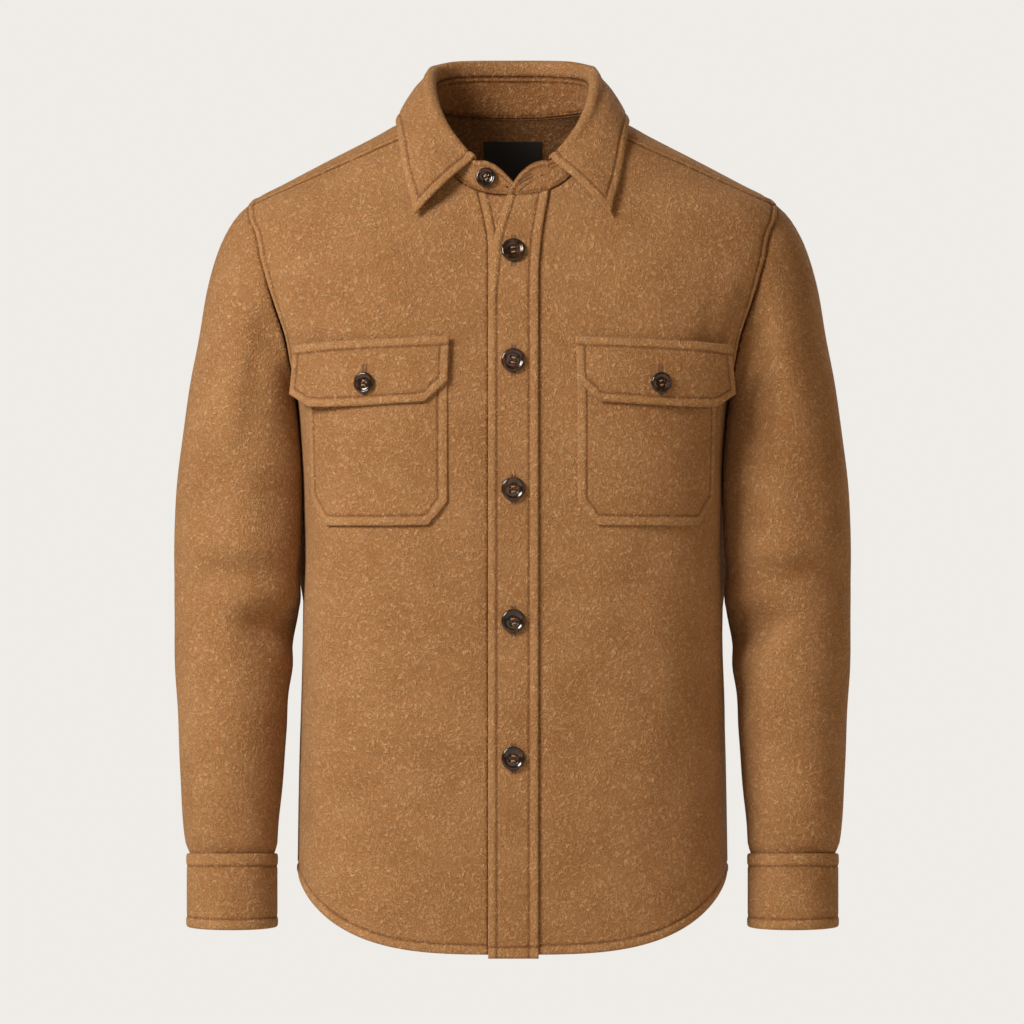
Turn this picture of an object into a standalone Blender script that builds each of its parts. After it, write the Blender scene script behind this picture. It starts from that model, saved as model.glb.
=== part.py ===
"""Overshirt in felted wool, filled out as if worn, with nobody in it.

The frame: the origin is the middle of the neck at shoulder height, +X is the wearer's
left, -Y the front and +Z up. Every size below is in millimetres; a mesh is written
in metres.
"""

import math
from collections import namedtuple

import bmesh
import bpy
import numpy as np

for opened_with in list(bpy.data.objects):
    bpy.data.objects.remove(opened_with, do_unlink=True)

MM = 0.001

# Driving dimensions -------------------------------------------------------------

CLOTH = 2.0              # wall of one layer of felted wool
DOUBLE = 2.8             # wall where the cloth is sewn double
CUFF_WALL = 3.0
SEAM_GAP = 0.36          # left between two pieces that are sewn edge to edge
LAY_GAP = 0.3            # left between a piece and the panel it lies on

SHOULDER_TIP_Z = -66.0   # where the shoulder ridge reaches the armhole
UNDERARM_Z = -240.0
ARMHOLE_FRONT = 66.0     # half depth of the armhole to the front
ARMHOLE_BACK = 72.0
NECK_HALF_WIDTH = 70.0
NECK_FRONT_Z = -59.0     # collar seam at the centre front
NECK_SIDE_Z = 15.0
NECK_BACK_Z = 9.0
SIDE_HEM_Z = -655.0      # bottom of the side seams
HEM_DROP = 72.0          # how far the curved tail falls below the side seams
BACK_RISE = 5.0          # the back tail is this much shorter than the front one
YOKE_FRONT_TURN = 15.0   # degrees round the armhole from its top to the yoke seams
YOKE_BACK_TURN = -60.0
YOKE_NECK_X = 69.5       # where the forward yoke seam meets the collar seam
PLACKET_SEAM_X = 22.9
PLACKET_EDGE_X = 21.5
PLACKET_BOTTOM_Z = -730.4
PLACKET_TOP_Z = -58.0    # where the plackets reach the collar seam
FRONT_TOP_Z = -57.0      # and the fronts, at their placket seams
UNDER_MARGIN = 0.5       # the under placket lies this much inside the top one's edge

Section = namedtuple("Section", "z half_width front_depth back_depth squareness")
BODY = (
    Section(-745.0, 190.0, 124.0, 122.0, 2.8),
    Section(-655.0, 189.0, 125.0, 123.0, 2.8),
    Section(-560.0, 187.4, 127.0, 122.0, 2.9),
    Section(-480.0, 185.0, 128.5, 120.0, 3.0),
    Section(-420.0, 184.0, 129.0, 120.0, 3.0),
    Section(-372.0, 183.8, 130.0, 122.0, 3.1),
    Section(-323.0, 185.0, 131.0, 125.0, 3.1),
    Section(-266.0, 187.4, 131.0, 128.0, 3.2),
    Section(-234.0, 191.0, 129.5, 128.0, 3.2),
    Section(-204.0, 200.5, 127.0, 127.0, 3.2),
    Section(-182.0, 208.6, 123.5, 126.0, 3.2),
    Section(-150.0, 227.0, 116.0, 122.5, 3.0),
    Section(-134.0, 235.0, 111.5, 120.5, 2.9),
    Section(-108.0, 243.0, 103.0, 115.0, 2.7),
    Section(-84.0, 243.0, 94.5, 108.5, 2.5),
    Section(-72.0, 237.5, 90.0, 104.5, 2.45),
    Section(-62.5, 227.0, 84.5, 100.0, 2.4),
    Section(-50.0, 203.0, 79.0, 93.0, 2.3),
    Section(-30.0, 165.0, 72.0, 82.0, 2.3),
    Section(-5.3, 117.0, 65.0, 68.0, 2.2),
    Section(2.6, 103.0, 60.0, 62.0, 2.2),
    Section(15.0, 70.0, 50.0, 52.0, 2.2),
    Section(22.0, 58.0, 46.0, 48.0, 2.2),
)

# A row is one ring of the sleeve, from the armhole to the wrist: the ends of the ring
# as the front shows them, and how far it reaches to the front and to the back.
Ring = namedtuple("Ring", "outer_x outer_z inner_x inner_z mid_y front back")
SLEEVE = (
    Ring(231.0, -66.0, 190.3, -240.0, 0.0, 66.0, 72.0),
    Ring(241.0, -75.7, 191.2, -243.0, 1.0, 68.0, 73.0),
    Ring(251.7, -92.4, 191.0, -247.0, 2.0, 69.0, 73.5),
    Ring(260.0, -112.0, 190.4, -252.0, 2.0, 69.5, 73.5),
    Ring(268.4, -142.6, 189.6, -259.0, 2.0, 69.5, 73.0),
    Ring(276.3, -187.4, 188.9, -270.0, 1.0, 69.0, 71.5),
    Ring(284.0, -228.0, 188.0, -287.0, 0.0, 68.0, 69.5),
    Ring(290.4, -270.0, 187.2, -308.0, -1.0, 66.5, 67.5),
    Ring(295.0, -315.0, 186.6, -333.0, -2.0, 65.0, 65.5),
    Ring(297.6, -358.0, 185.9, -362.0, -3.5, 63.5, 63.5),
    Ring(298.6, -396.0, 188.4, -396.0, -5.0, 62.0, 61.5),
    Ring(298.8, -432.0, 192.0, -432.0, -7.0, 59.5, 59.0),
    Ring(298.4, -470.0, 195.6, -470.0, -10.0, 56.5, 56.0),
    Ring(297.0, -510.0, 198.6, -510.0, -13.5, 53.0, 52.5),
    Ring(295.0, -550.0, 201.4, -550.0, -17.0, 49.5, 49.0),
    Ring(291.8, -590.0, 204.2, -590.0, -20.5, 45.5, 45.5),
    Ring(288.6, -618.0, 206.6, -618.0, -22.5, 42.0, 42.0),
    Ring(286.6, -632.0, 207.6, -632.0, -23.5, 39.5, 39.5),
    Ring(283.3, -639.0, 210.4, -639.0, -24.0, 34.0, 34.0),
    Ring(283.3, -646.0, 210.4, -646.0, -24.0, 34.0, 34.0),
)

# A row is one fold of a sleeve, as a soft trough (negative) or ridge along a line.
Fold = namedtuple("Fold", "z turn depth half_height half_turn lean")
SLEEVE_FOLDS = (
    Fold(-405.0, 168.0, 5.0, 16.0, 40.0, 0.10),
    Fold(-437.0, 150.0, -8.0, 20.0, 46.0, 0.20),
    Fold(-470.0, 162.0, 3.5, 18.0, 36.0, 0.20),
    Fold(-215.0, 98.0, -5.0, 75.0, 17.0, 0.0),
    Fold(-345.0, 70.0, -2.5, 60.0, 22.0, 0.25),
    Fold(-330.0, 215.0, -5.0, 40.0, 34.0, -0.30),
    Fold(-560.0, 305.0, -2.5, 34.0, 40.0, 0.30),
)

# A row is one place round half the collar, as a share of the way from the centre
# front to the centre back: the top of the band, how far the leaf rises above it
# before it rolls over, and where the leaf's edge comes to lie, as the front shows it.
Place = namedtuple("Place", "along top_x top_y top_z rise edge_x edge_z behind")
COLLAR = (
    Place(0.115, 32.0, -75.0, -28.5, 4.2, 86.2, -75.0, False),
    Place(0.16, 40.5, -72.5, -22.5, 6.0, 88.6, -65.0, False),
    Place(0.22, 49.5, -67.5, -13.5, 7.5, 92.0, -54.0, False),
    Place(0.29, 57.5, -60.0, -3.0, 9.0, 94.8, -42.0, False),
    Place(0.36, 63.0, -50.0, 7.5, 10.0, 97.0, -30.0, False),
    Place(0.43, 66.5, -38.0, 17.0, 11.0, 98.6, -18.5, False),
    Place(0.50, 68.5, -25.0, 25.5, 11.5, 99.8, -8.0, False),
    Place(0.56, 69.0, -12.0, 32.0, 12.0, 100.4, -0.8, False),
    Place(0.62, 68.8, 1.5, 37.0, 12.0, 100.8, 3.6, False),
    Place(0.68, 66.0, 15.5, 41.0, 12.5, 97.0, 4.6, True),
    Place(0.74, 59.5, 28.5, 43.5, 12.5, 84.5, 2.8, True),
    Place(0.80, 49.0, 39.0, 45.0, 13.0, 68.0, 1.0, True),
    Place(0.87, 33.5, 47.5, 45.8, 13.0, 46.0, 0.5, True),
    Place(0.935, 17.0, 51.5, 46.0, 13.0, 23.5, 0.0, True),
    Place(1.0, 0.0, 53.0, 46.0, 13.0, 0.0, 0.0, True),
)
BandEnd = namedtuple("BandEnd", "along top_x top_y top_z")
BAND_END = (
    BandEnd(0.0, 0.5, -82.0, -49.5),
    BandEnd(0.02, 6.0, -80.5, -40.0),
    BandEnd(0.05, 14.0, -78.5, -33.0),
    BandEnd(0.09, 25.0, -76.5, -28.5),
)
ROLL_RADIUS = 4.0
ROLL_GAP = 1.9           # the leaf starts this much above the band
BAND_GAP = 1.0           # and the band this much above the collar seam
LEAF_LIFT = 2.6          # the middle of the leaf's edge over the cloth it lies on

# A row is one height on the fronts: the top placket's free edge and seam, and how far
# to the wearer's right the under placket's seam lies.
Strip = namedtuple("Strip", "z edge_x seam_x under_x")
PLACKET = (
    Strip(PLACKET_BOTTOM_Z, -PLACKET_EDGE_X, PLACKET_SEAM_X, PLACKET_EDGE_X),
    Strip(-150.0, -PLACKET_EDGE_X, PLACKET_SEAM_X, PLACKET_EDGE_X),
    Strip(-130.0, -19.6, 23.0, 21.5),
    Strip(-115.0, -18.4, 23.8, 21.6),
    Strip(-97.0, -16.3, 25.5, 22.0),
    Strip(-82.7, -12.3, 27.4, 24.4),
    Strip(-69.5, -7.9, 29.8, 27.2),
    Strip(PLACKET_TOP_Z, -4.4, 31.8, 30.0),
)

# A row is one line down a pocket or a flap on the wearer's left, from its top to its
# lower edge, as the front shows it, and how far it stands off what it lies on.
Line = namedtuple("Line", "top_x top_z foot_x foot_z lift")
FLAP = (
    Line(56.6, -184.0, 60.5, -223.5, 0.0),
    Line(64.0, -184.3, 68.0, -232.5, 0.0),
    Line(73.0, -184.7, 76.5, -241.0, 0.0),
    Line(103.0, -185.8, 104.0, -243.0, 0.0),
    Line(130.0, -186.8, 130.0, -244.8, 0.4),
    Line(148.0, -187.6, 147.0, -245.4, 1.8),
    Line(162.0, -188.2, 159.0, -245.6, 4.0),
    Line(173.0, -188.8, 170.0, -244.8, 6.5),
    Line(182.0, -189.3, 181.0, -232.5, 9.0),
)
POCKET = (
    Line(57.0, -196.0, 57.0, -329.0, 0.0),
    Line(65.0, -196.0, 65.5, -339.5, 0.0),
    Line(74.5, -196.0, 74.5, -349.5, 0.0),
    Line(102.0, -196.0, 102.0, -350.0, 0.1),
    Line(128.0, -196.0, 128.0, -350.0, 0.3),
    Line(146.0, -196.0, 146.0, -350.0, 0.4),
    Line(162.0, -196.0, 162.0, -350.0, 0.5),
    Line(170.5, -196.0, 168.0, -340.0, 0.6),
    Line(178.5, -196.0, 174.5, -327.5, 0.6),
)
POCKET_LAY = 0.4         # the pocket's inner side over the front
FLAP_LAY = 3.0           # the flap's inner side over the front, outside the pocket
FLAP_BUTTON_LAY = 6.2    # and the flap button's seat
FLAP_BUTTON = (128.0, -224.4)
BAND_BUTTON = (-22.9, -44.0)
LABEL_HALF_WIDTH = 25.5
LABEL_TOP_Z = -12.0
LABEL_FOOT_Z = -58.0
LABEL_GAP = 0.4          # the label hangs this far inside the yoke
LABEL_WALL = 0.8

CUFF_TOP_Z = -638.5
CUFF_FOOT_Z = -700.0
CUFF_X = 247.0
CUFF_Y = -24.0
CUFF_OUTER = 40.0        # half width, and half depth, of the outside of the cuff
CUFF_DROP = 3.2          # its front edge hangs this much lower than its sides
CUFF_START = -75.0       # degrees round the wrist to its under end
CUFF_LAP = 30.0          # degrees of overlap
BUTTON_X = 0.7
BUTTON_Z = (-109.1, -205.0, -317.7, -433.8, -554.4)
BUTTON_RADIUS = 10.6
SMALL_BUTTON_RADIUS = 9.4
BAND_BUTTON_RADIUS = 8.8
BAND_BUTTON_LIFT = 0.9   # the band curves away under the flat button
BUTTON_THICKNESS = 3.6


# Curves and surfaces ------------------------------------------------------------

def column(rows, name):
    """One named column of a table."""
    return np.array([getattr(row, name) for row in rows], float)


def smooth(at, keys, values):
    """A smooth curve through (keys, values) that never overshoots them."""
    slope = np.diff(values) / np.diff(keys)
    inner = slope[1:] * slope[:-1]
    total = slope[1:] + slope[:-1]
    mean = np.where(inner > 0, 2 * inner / np.where(total == 0, 1, total), 0.0)
    tangent = np.concatenate([slope[:1], mean, slope[-1:]])
    at = np.clip(at, keys[0], keys[-1])
    low = np.clip(np.searchsorted(keys, at) - 1, 0, len(keys) - 2)
    step = keys[low + 1] - keys[low]
    t = (at - keys[low]) / step
    rise = values[low + 1] - values[low]
    start = tangent[low] * step
    end = tangent[low + 1] * step
    return values[low] + start * t + (3 * rise - 2 * start - end) * t**2 \
        + (start + end - 2 * rise) * t**3


def section(z):
    """The body's half width, front and back depth and squareness at height z."""
    keys = column(BODY, "z")
    return [smooth(z, keys, column(BODY, name)) for name in Section._fields[1:]]


def power(value, exponent):
    return np.sign(value) * np.abs(value) ** exponent


def body_skin(quarter, z):
    """A point of the body; quarter is 0 centre front, 1 left side, 2 centre back."""
    half_width, front, back, squareness = section(z)
    angle = quarter * math.pi / 2
    depth = np.where(np.cos(angle) > 0, -front, -back)
    x = half_width * power(np.sin(angle), 2 / squareness)
    y = depth * power(np.cos(angle), 2 / squareness)
    return np.stack([x, y, z + 0 * x], axis=-1)


def across(first, second):
    """Unit vectors square to two sets of directions."""
    normal = np.cross(first, second)
    return normal / np.linalg.norm(normal, axis=-1, keepdims=True)


def body_point(quarter, z, out=0.0):
    """A point moved out from the body's skin by out."""
    quarter = np.asarray(quarter, float)
    z = np.asarray(z, float)
    around = body_skin(quarter + 0.004, z) - body_skin(quarter - 0.004, z)
    up = body_skin(quarter, z + 1.0) - body_skin(quarter, z - 1.0)
    return body_skin(quarter, z) + across(around, up) * np.expand_dims(out + 0 * z, -1)


def front_quarter(x, z):
    """Where on the front the skin has this x at this height."""
    half_width, _, _, squareness = section(z)
    share = np.clip(np.abs(x) / half_width, 0, 1)
    return np.sign(x) * np.arcsin(share ** (squareness / 2)) * 2 / math.pi


def hem_z(quarter):
    """The curved tail's height, front and back."""
    _, _, _, squareness = section(np.full_like(quarter, SIDE_HEM_Z))
    reach = np.abs(np.sin(quarter * math.pi / 2)) ** (2 / squareness)
    drop = HEM_DROP - BACK_RISE * (np.abs(quarter) > 1)
    return SIDE_HEM_Z - drop * (1 - np.minimum(reach, 1) ** 3.4) ** 0.625


def armhole(turn):
    """(quarter, z) of the armhole; turn is 0 at its top, 90 at the front, in degrees."""
    angle = np.radians(turn)
    middle = (SHOULDER_TIP_Z + UNDERARM_Z) / 2
    z = middle + (SHOULDER_TIP_Z - middle) * np.cos(angle)
    _, front, back, squareness = section(z)
    reach = np.abs(np.sin(angle)) * np.where(np.sin(angle) > 0, ARMHOLE_FRONT, ARMHOLE_BACK)
    share = reach / np.where(np.sin(angle) > 0, front, back)
    swing = np.arcsin(share ** (squareness / 2)) * 2 / math.pi
    return 1 - np.sign(np.sin(angle)) * swing, z


def neckline():
    """(quarter, z, share of the way) along half the collar seam, front to back."""
    angle = np.radians(np.linspace(0.0, 180.0, 1441))
    before = angle < math.pi / 2
    rise = (1 - np.cos(np.minimum(angle, math.pi / 2))) ** 1.27
    z = np.where(before, NECK_FRONT_Z + (NECK_SIDE_Z - NECK_FRONT_Z) * rise,
                 NECK_BACK_Z + (NECK_SIDE_Z - NECK_BACK_Z) * np.sin(angle) ** 2)
    quarter = front_quarter(NECK_HALF_WIDTH * np.sin(angle), z)
    quarter = np.where(before, quarter, 2 - quarter)
    step = np.linalg.norm(np.diff(body_skin(quarter, z), axis=0), axis=1)
    along = np.concatenate([[0.0], np.cumsum(step)])
    return quarter, z, along / along[-1]


NECK_QUARTER, NECK_Z, NECK_ALONG = neckline()


def neck_at(along):
    """(quarter, z) of the collar seam at a share of the way to the centre back."""
    return np.interp(along, NECK_ALONG, NECK_QUARTER), np.interp(along, NECK_ALONG, NECK_Z)


def neck_share(x):
    """The share of the way at which the front of the collar seam has this x."""
    x_here = body_skin(NECK_QUARTER, NECK_Z)[:, 0]
    front = NECK_ALONG < NECK_ALONG[np.argmax(x_here > YOKE_NECK_X + 0.4)]
    return np.interp(x, x_here[front], NECK_ALONG[front])


# Solids -------------------------------------------------------------------------

def trimmed(grid, edges, amount=SEAM_GAP / 2):
    """A grid whose named border rows are drawn in, which leaves the seam's gap."""
    grid = grid.copy()
    moves = {"first": (0, 1, 0), "last": (-1, -2, 0), "left": (0, 1, 1), "right": (-1, -2, 1)}
    for edge in edges:
        border, inside, axis = moves[edge]
        lines = grid if axis == 0 else grid.swapaxes(0, 1)
        way = lines[inside] - lines[border]
        length = np.maximum(np.linalg.norm(way, axis=-1, keepdims=True), 1e-9)
        lines[border] += way / length * np.minimum(amount, length * 0.5)
    return grid


def add_material(name, colour, roughness):
    material = bpy.data.materials.new(name)
    material.use_nodes = True
    shader = material.node_tree.nodes["Principled BSDF"]
    shader.inputs["Base Color"].default_value = (*colour, 1.0)
    shader.inputs["Roughness"].default_value = roughness
    shader.inputs["Metallic"].default_value = 0.0
    return material


WOOL = add_material("felted_wool", (0.37, 0.20, 0.083), 0.95)
HORN = add_material("dark_horn", (0.030, 0.012, 0.006), 0.22)
LABEL = add_material("woven_label", (0.006, 0.005, 0.005), 0.7)


def add_object(name, points, faces, material):
    mesh = bpy.data.meshes.new(name)
    mesh.from_pydata([tuple(point) for point in np.asarray(points) * MM], [], faces)
    mesh.materials.append(material)
    piece = bmesh.new()
    piece.from_mesh(mesh)
    bmesh.ops.remove_doubles(piece, verts=piece.verts, dist=1e-6)
    bmesh.ops.dissolve_degenerate(piece, edges=piece.edges, dist=1e-6)
    if piece.calc_volume(signed=True) < 0:
        bmesh.ops.reverse_faces(piece, faces=piece.faces)
    piece.to_mesh(mesh)
    piece.free()
    mesh.shade_smooth()
    mesh.set_sharp_from_angle(angle=math.radians(50))
    item = bpy.data.objects.new(name, mesh)
    bpy.context.scene.collection.objects.link(item)
    return item


def wall(name, outer, inner, material=WOOL, ring=False):
    """A closed solid between two grids of points; a ring's columns run all round."""
    rows, columns = outer.shape[:2]
    count = rows * columns
    points = np.concatenate([outer.reshape(-1, 3), inner.reshape(-1, 3)])

    def index(row, place, side):
        return side * count + row * columns + place % columns

    faces = []
    spans = columns if ring else columns - 1
    for row in range(rows - 1):
        for place in range(spans):
            for side in (0, 1):
                corners = [index(row, place, side), index(row, place + 1, side),
                           index(row + 1, place + 1, side), index(row + 1, place, side)]
                faces.append(corners if side == 0 else corners[::-1])
    for row, turned in ((0, False), (rows - 1, True)):
        for place in range(spans):
            rim = [index(row, place, 0), index(row, place, 1),
                   index(row, place + 1, 1), index(row, place + 1, 0)]
            faces.append(rim[::-1] if turned else rim)
    if not ring:
        for place, turned in ((0, True), (columns - 1, False)):
            for row in range(rows - 1):
                rim = [index(row, place, 0), index(row, place, 1),
                       index(row + 1, place, 1), index(row + 1, place, 0)]
                faces.append(rim[::-1] if turned else rim)
    return add_object(name, points, faces, material)


def patch(first, last, left, right, fade=3):
    """(quarter, z) rows between four border lines, each a list of (quarter, z).

    The bows of the first and last line die out towards the other end, the sooner the
    larger fade is.
    """
    v = np.linspace(0, 1, len(left))[:, None, None]
    spread = np.cumsum(np.concatenate([[0], np.linalg.norm(np.diff(first, axis=0), axis=1)]))
    u = (spread / spread[-1])[None, :, None]
    straight = (1 - u) * left[:, None] + u * right[:, None]
    bow_first = first[None] - straight[:1]
    bow_last = last[None] - straight[-1:]
    return straight + (1 - v) ** fade * bow_first + v ** fade * bow_last


def panel(name, places, edges, mirror=False, thick=CLOTH, out=0.0, material=WOOL):
    """A wall on the body's skin, from a grid of (quarter, z) places."""
    quarter = -places[..., 0] if mirror else places[..., 0]
    outer = trimmed(body_point(quarter, places[..., 1], out), edges)
    inner = trimmed(body_point(quarter, places[..., 1], out - thick), edges)
    return wall(name, outer, inner, material)


def pairs(quarter, z):
    return np.stack([quarter + 0 * z, z + 0 * quarter], axis=-1)


# Body panels --------------------------------------------------------------------

SIDE_ROWS = 10
ARM_TURNS_FRONT = np.arange(180.0, YOKE_FRONT_TURN - 1, -15.0)
ARM_TURNS_BACK = np.arange(-180.0, YOKE_BACK_TURN + 1, 15.0)
NECK_ROWS = 6
FRONT_COLUMNS = 11
BACK_SHARES = np.linspace(-1, 1, 17)


def side_and_armhole(turns):
    """The outer border of a front or of half the back, hem to yoke."""
    z = np.linspace(SIDE_HEM_Z, UNDERARM_Z, SIDE_ROWS + 1)[:-1]
    arm_quarter, arm_z = armhole(turns)
    return pairs(np.concatenate([np.ones(SIDE_ROWS), arm_quarter]),
                 np.concatenate([z, arm_z]))


def yoke_front_seam(count):
    """(quarter, z) of the forward seam, straight as the front shows it."""
    neck_quarter, neck_z = neck_at(neck_share(YOKE_NECK_X))
    arm = body_skin(*armhole(np.array(YOKE_FRONT_TURN)))
    x = np.linspace(YOKE_NECK_X, arm[0], count)
    z = neck_z + (arm[2] - neck_z) * (x - x[0]) / (x[-1] - x[0])
    quarter = front_quarter(x, z)
    quarter[0] = neck_quarter
    return pairs(quarter, z)


def build_front(name, seam_x, mirror):
    """One front; seam_x gives the x of its placket seam at a height."""
    right = side_and_armhole(ARM_TURNS_FRONT)
    rows = len(right)
    neck_start = neck_share(float(seam_x(np.array(FRONT_TOP_Z))))
    neck_quarter, neck_z = neck_at(np.linspace(neck_start, neck_share(YOKE_NECK_X), NECK_ROWS))
    straight = rows - NECK_ROWS
    bottom_z = hem_z(front_quarter(np.array(PLACKET_SEAM_X), np.array(SIDE_HEM_Z)))
    z = bottom_z + (neck_z[0] - bottom_z) * (np.arange(straight) / straight) ** 1.12
    left = pairs(np.concatenate([front_quarter(seam_x(z), z), neck_quarter]),
                 np.concatenate([z, neck_z]))
    last = yoke_front_seam(FRONT_COLUMNS)
    share = np.sin(np.linspace(0, math.pi / 2, FRONT_COLUMNS))
    quarter = left[0, 0] + (1 - left[0, 0]) * share
    first = pairs(quarter, hem_z(quarter))
    return panel(name, patch(first, last, left, right), ("last", "left", "right"), mirror)


def left_seam(z):
    return smooth(z, column(PLACKET, "z"), column(PLACKET, "seam_x"))


def right_seam(z):
    return smooth(z, column(PLACKET, "z"), column(PLACKET, "under_x"))


def build_back():
    left = side_and_armhole(ARM_TURNS_BACK)
    right = left * (-1, 1) + (4, 0)
    arm_quarter, arm_z = armhole(np.array(YOKE_BACK_TURN))
    quarter = 2 + BACK_SHARES
    first = pairs(quarter, hem_z(np.where(quarter > 2, 4 - quarter, quarter)))
    quarter = 2 + BACK_SHARES * (2 - float(arm_quarter))
    last = pairs(quarter, np.full_like(quarter, float(arm_z)))
    return panel("back", patch(first, last, left, right), ("last", "left", "right"))


def build_yoke():
    """Over both shoulders; columns run from the collar seam to the outer seams."""
    turns = np.arange(YOKE_FRONT_TURN, YOKE_BACK_TURN - 1, -15.0)
    arm = pairs(*armhole(turns))
    arm_quarter, arm_z = armhole(np.array(YOKE_BACK_TURN))
    seam_quarter = 2 + BACK_SHARES * (2 - float(arm_quarter))
    seam = pairs(seam_quarter, np.full_like(seam_quarter, float(arm_z)))
    outer = np.concatenate([arm[:-1], seam, (arm * (-1, 1) + (4, 0))[:-1][::-1]])
    shares = neck_share(YOKE_NECK_X) + (1 - neck_share(YOKE_NECK_X)) \
        * np.linspace(0, 1, len(outer) // 2 + 1)
    neck = pairs(*neck_at(shares))
    inner = np.concatenate([neck, (neck * (-1, 1) + (4, 0))[:-1][::-1]])
    end = yoke_front_seam(FRONT_COLUMNS)
    other = end * (-1, 1) + (4, 0)
    return panel("yoke", patch(end, other, inner, outer, fade=14),
                 ("first", "last", "left", "right"))


# Sleeves and cuffs --------------------------------------------------------------

SLEEVE_TURNS = np.arange(0.0, 360.0, 15.0)
SLEEVE_ROWS = (0.0, 0.5, 1.1, 1.8, 2.6, 3.5, 4.5, 5.5, 6.5, 7.5, 8.5, 9.5, 10.3, 10.9, 11.5,
               12.3, 13.2, 14.2, 15.2, 16.2, 17.0, 18.0, 19.0)


def sleeve_skin(turn, row):
    """A point of the left sleeve without folds; turn 0 is its outer side, 90 its front."""
    keys = np.arange(len(SLEEVE), dtype=float)
    ring = {name: smooth(row, keys, column(SLEEVE, name)) for name in Ring._fields}
    angle = np.radians(turn)
    along = np.cos(angle)
    x = (ring["outer_x"] * (1 + along) + ring["inner_x"] * (1 - along)) / 2
    z = (ring["outer_z"] * (1 + along) + ring["inner_z"] * (1 - along)) / 2
    depth = np.where(np.sin(angle) > 0, ring["front"], ring["back"])
    y = ring["mid_y"] - depth * np.sin(angle)
    return np.stack([x, y, z], axis=-1)


def sleeve_smooth(turn, row):
    """The sleeve's skin, drawn on to the armhole where it is sewn in."""
    turn = turn + 0 * row
    wrapped = (turn + 180) % 360 - 180
    hole = body_skin(*armhole(wrapped))
    quarter, z = armhole(wrapped)
    lean = body_point(quarter, z, 1.0) - hole
    sink = 0.5 - 1.3 * (1 + np.cos(np.radians(turn))) / 2
    seam = hole + lean * sink[..., None]
    fade = np.clip(1 - row / 3.0, 0, 1)[..., None] ** 2
    return sleeve_skin(turn, row) + (seam - sleeve_skin(turn, 0 * row)) * fade


def fold_depth(folds, turn, z):
    """How far the folds move the skin out at each place."""
    total = 0.0
    for fold in folds:
        around = (turn - fold.turn + 180) % 360 - 180
        down = (z - fold.z) + fold.lean * around
        total = total + fold.depth * np.exp(-(down / fold.half_height) ** 2
                                            - (around / fold.half_turn) ** 2)
    return total


def facing(skin, turn, row):
    """Which way a skin of (turn, row) faces."""
    around = skin(turn + 0.5, row) - skin(turn - 0.5, row)
    low = np.clip(row - 0.02, 0.0, len(SLEEVE) - 1.04)
    down = skin(turn, low + 0.04) - skin(turn, low)
    return across(around, down)


def sleeve_folded(turn, row):
    base = sleeve_smooth(turn, row)
    depth = fold_depth(SLEEVE_FOLDS, turn + 0 * row, base[..., 2])
    return base + facing(sleeve_smooth, turn, row) * depth[..., None]


def build_sleeve(name, side):
    turn, row = np.meshgrid(SLEEVE_TURNS, np.array(SLEEVE_ROWS))
    outer = sleeve_folded(turn, row)
    out = facing(sleeve_folded, turn, row)
    wrapped = (turn[0] + 180) % 360 - 180
    quarter, z = armhole(wrapped)
    lean = body_point(quarter, z, 1.0) - body_point(quarter, z)
    share = np.clip(1.6 * np.cos(np.radians(turn[0])), 0, 1)[:, None]
    out[0] = out[0] * (1 - share) + lean * share
    out[0] /= np.linalg.norm(out[0], axis=-1, keepdims=True)
    inner = outer - out * CLOTH
    flip = np.array([side, 1.0, 1.0])
    return wall(name, trimmed(outer * flip, ("first",)), trimmed(inner * flip, ("first",)),
                ring=True)


def cuff_point(turn, share, out):
    """A point of the left cuff; share runs from its top to its lower edge."""
    angle = np.radians(turn)
    reach = CUFF_OUTER + out
    foot = CUFF_FOOT_Z - CUFF_DROP * (1 + np.sin(angle)) / 2
    return np.stack([CUFF_X + reach * np.cos(angle), CUFF_Y - reach * np.sin(angle),
                     CUFF_TOP_Z + (foot - CUFF_TOP_Z) * share], axis=-1)


def build_cuff(name, side):
    """A band round the wrist whose last end laps over the first."""
    step = 15.0
    turns = np.arange(CUFF_START, CUFF_START + 360 + CUFF_LAP + 1, step)
    turn, share = np.meshgrid(turns, np.linspace(0, 1, 4))
    climb = np.clip((turn - CUFF_START - (360 - 2 * step)) / (2 * step), 0, 1)
    climb = climb * climb * (3 - 2 * climb) * (CUFF_WALL + LAY_GAP)
    flip = np.array([side, 1.0, 1.0])
    return wall(name, cuff_point(turn, share, climb) * flip,
                cuff_point(turn, share, climb - CUFF_WALL) * flip)


# Collar -------------------------------------------------------------------------

def collar_places():
    """Points of half the collar: the seam, the band's top, the leaf's edge."""
    quarter, z = neck_at(column(COLLAR, "along"))
    foot = body_skin(quarter, z)
    top = np.stack([column(COLLAR, name) for name in ("top_x", "top_y", "top_z")], axis=-1)
    behind = column(COLLAR, "behind") > 0
    edge_z = column(COLLAR, "edge_z")
    edge_quarter = front_quarter(column(COLLAR, "edge_x"), edge_z)
    edge_quarter = np.where(behind, 2 - edge_quarter, edge_quarter)
    edge = body_point(edge_quarter, edge_z, LEAF_LIFT)
    return foot, top, edge


def both_halves(half):
    """Rows of half the collar, front to back, and on round to the other front."""
    return np.concatenate([half, (half * (-1, 1, 1))[:-1][::-1]])


def thickened(middle, thick):
    """The two faces of a wall round a grid of middle points (rows x columns)."""
    down = np.gradient(middle, axis=0)
    along = np.gradient(middle, axis=1)
    out = across(down, along) * thick / 2
    return middle + out, middle - out


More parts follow.
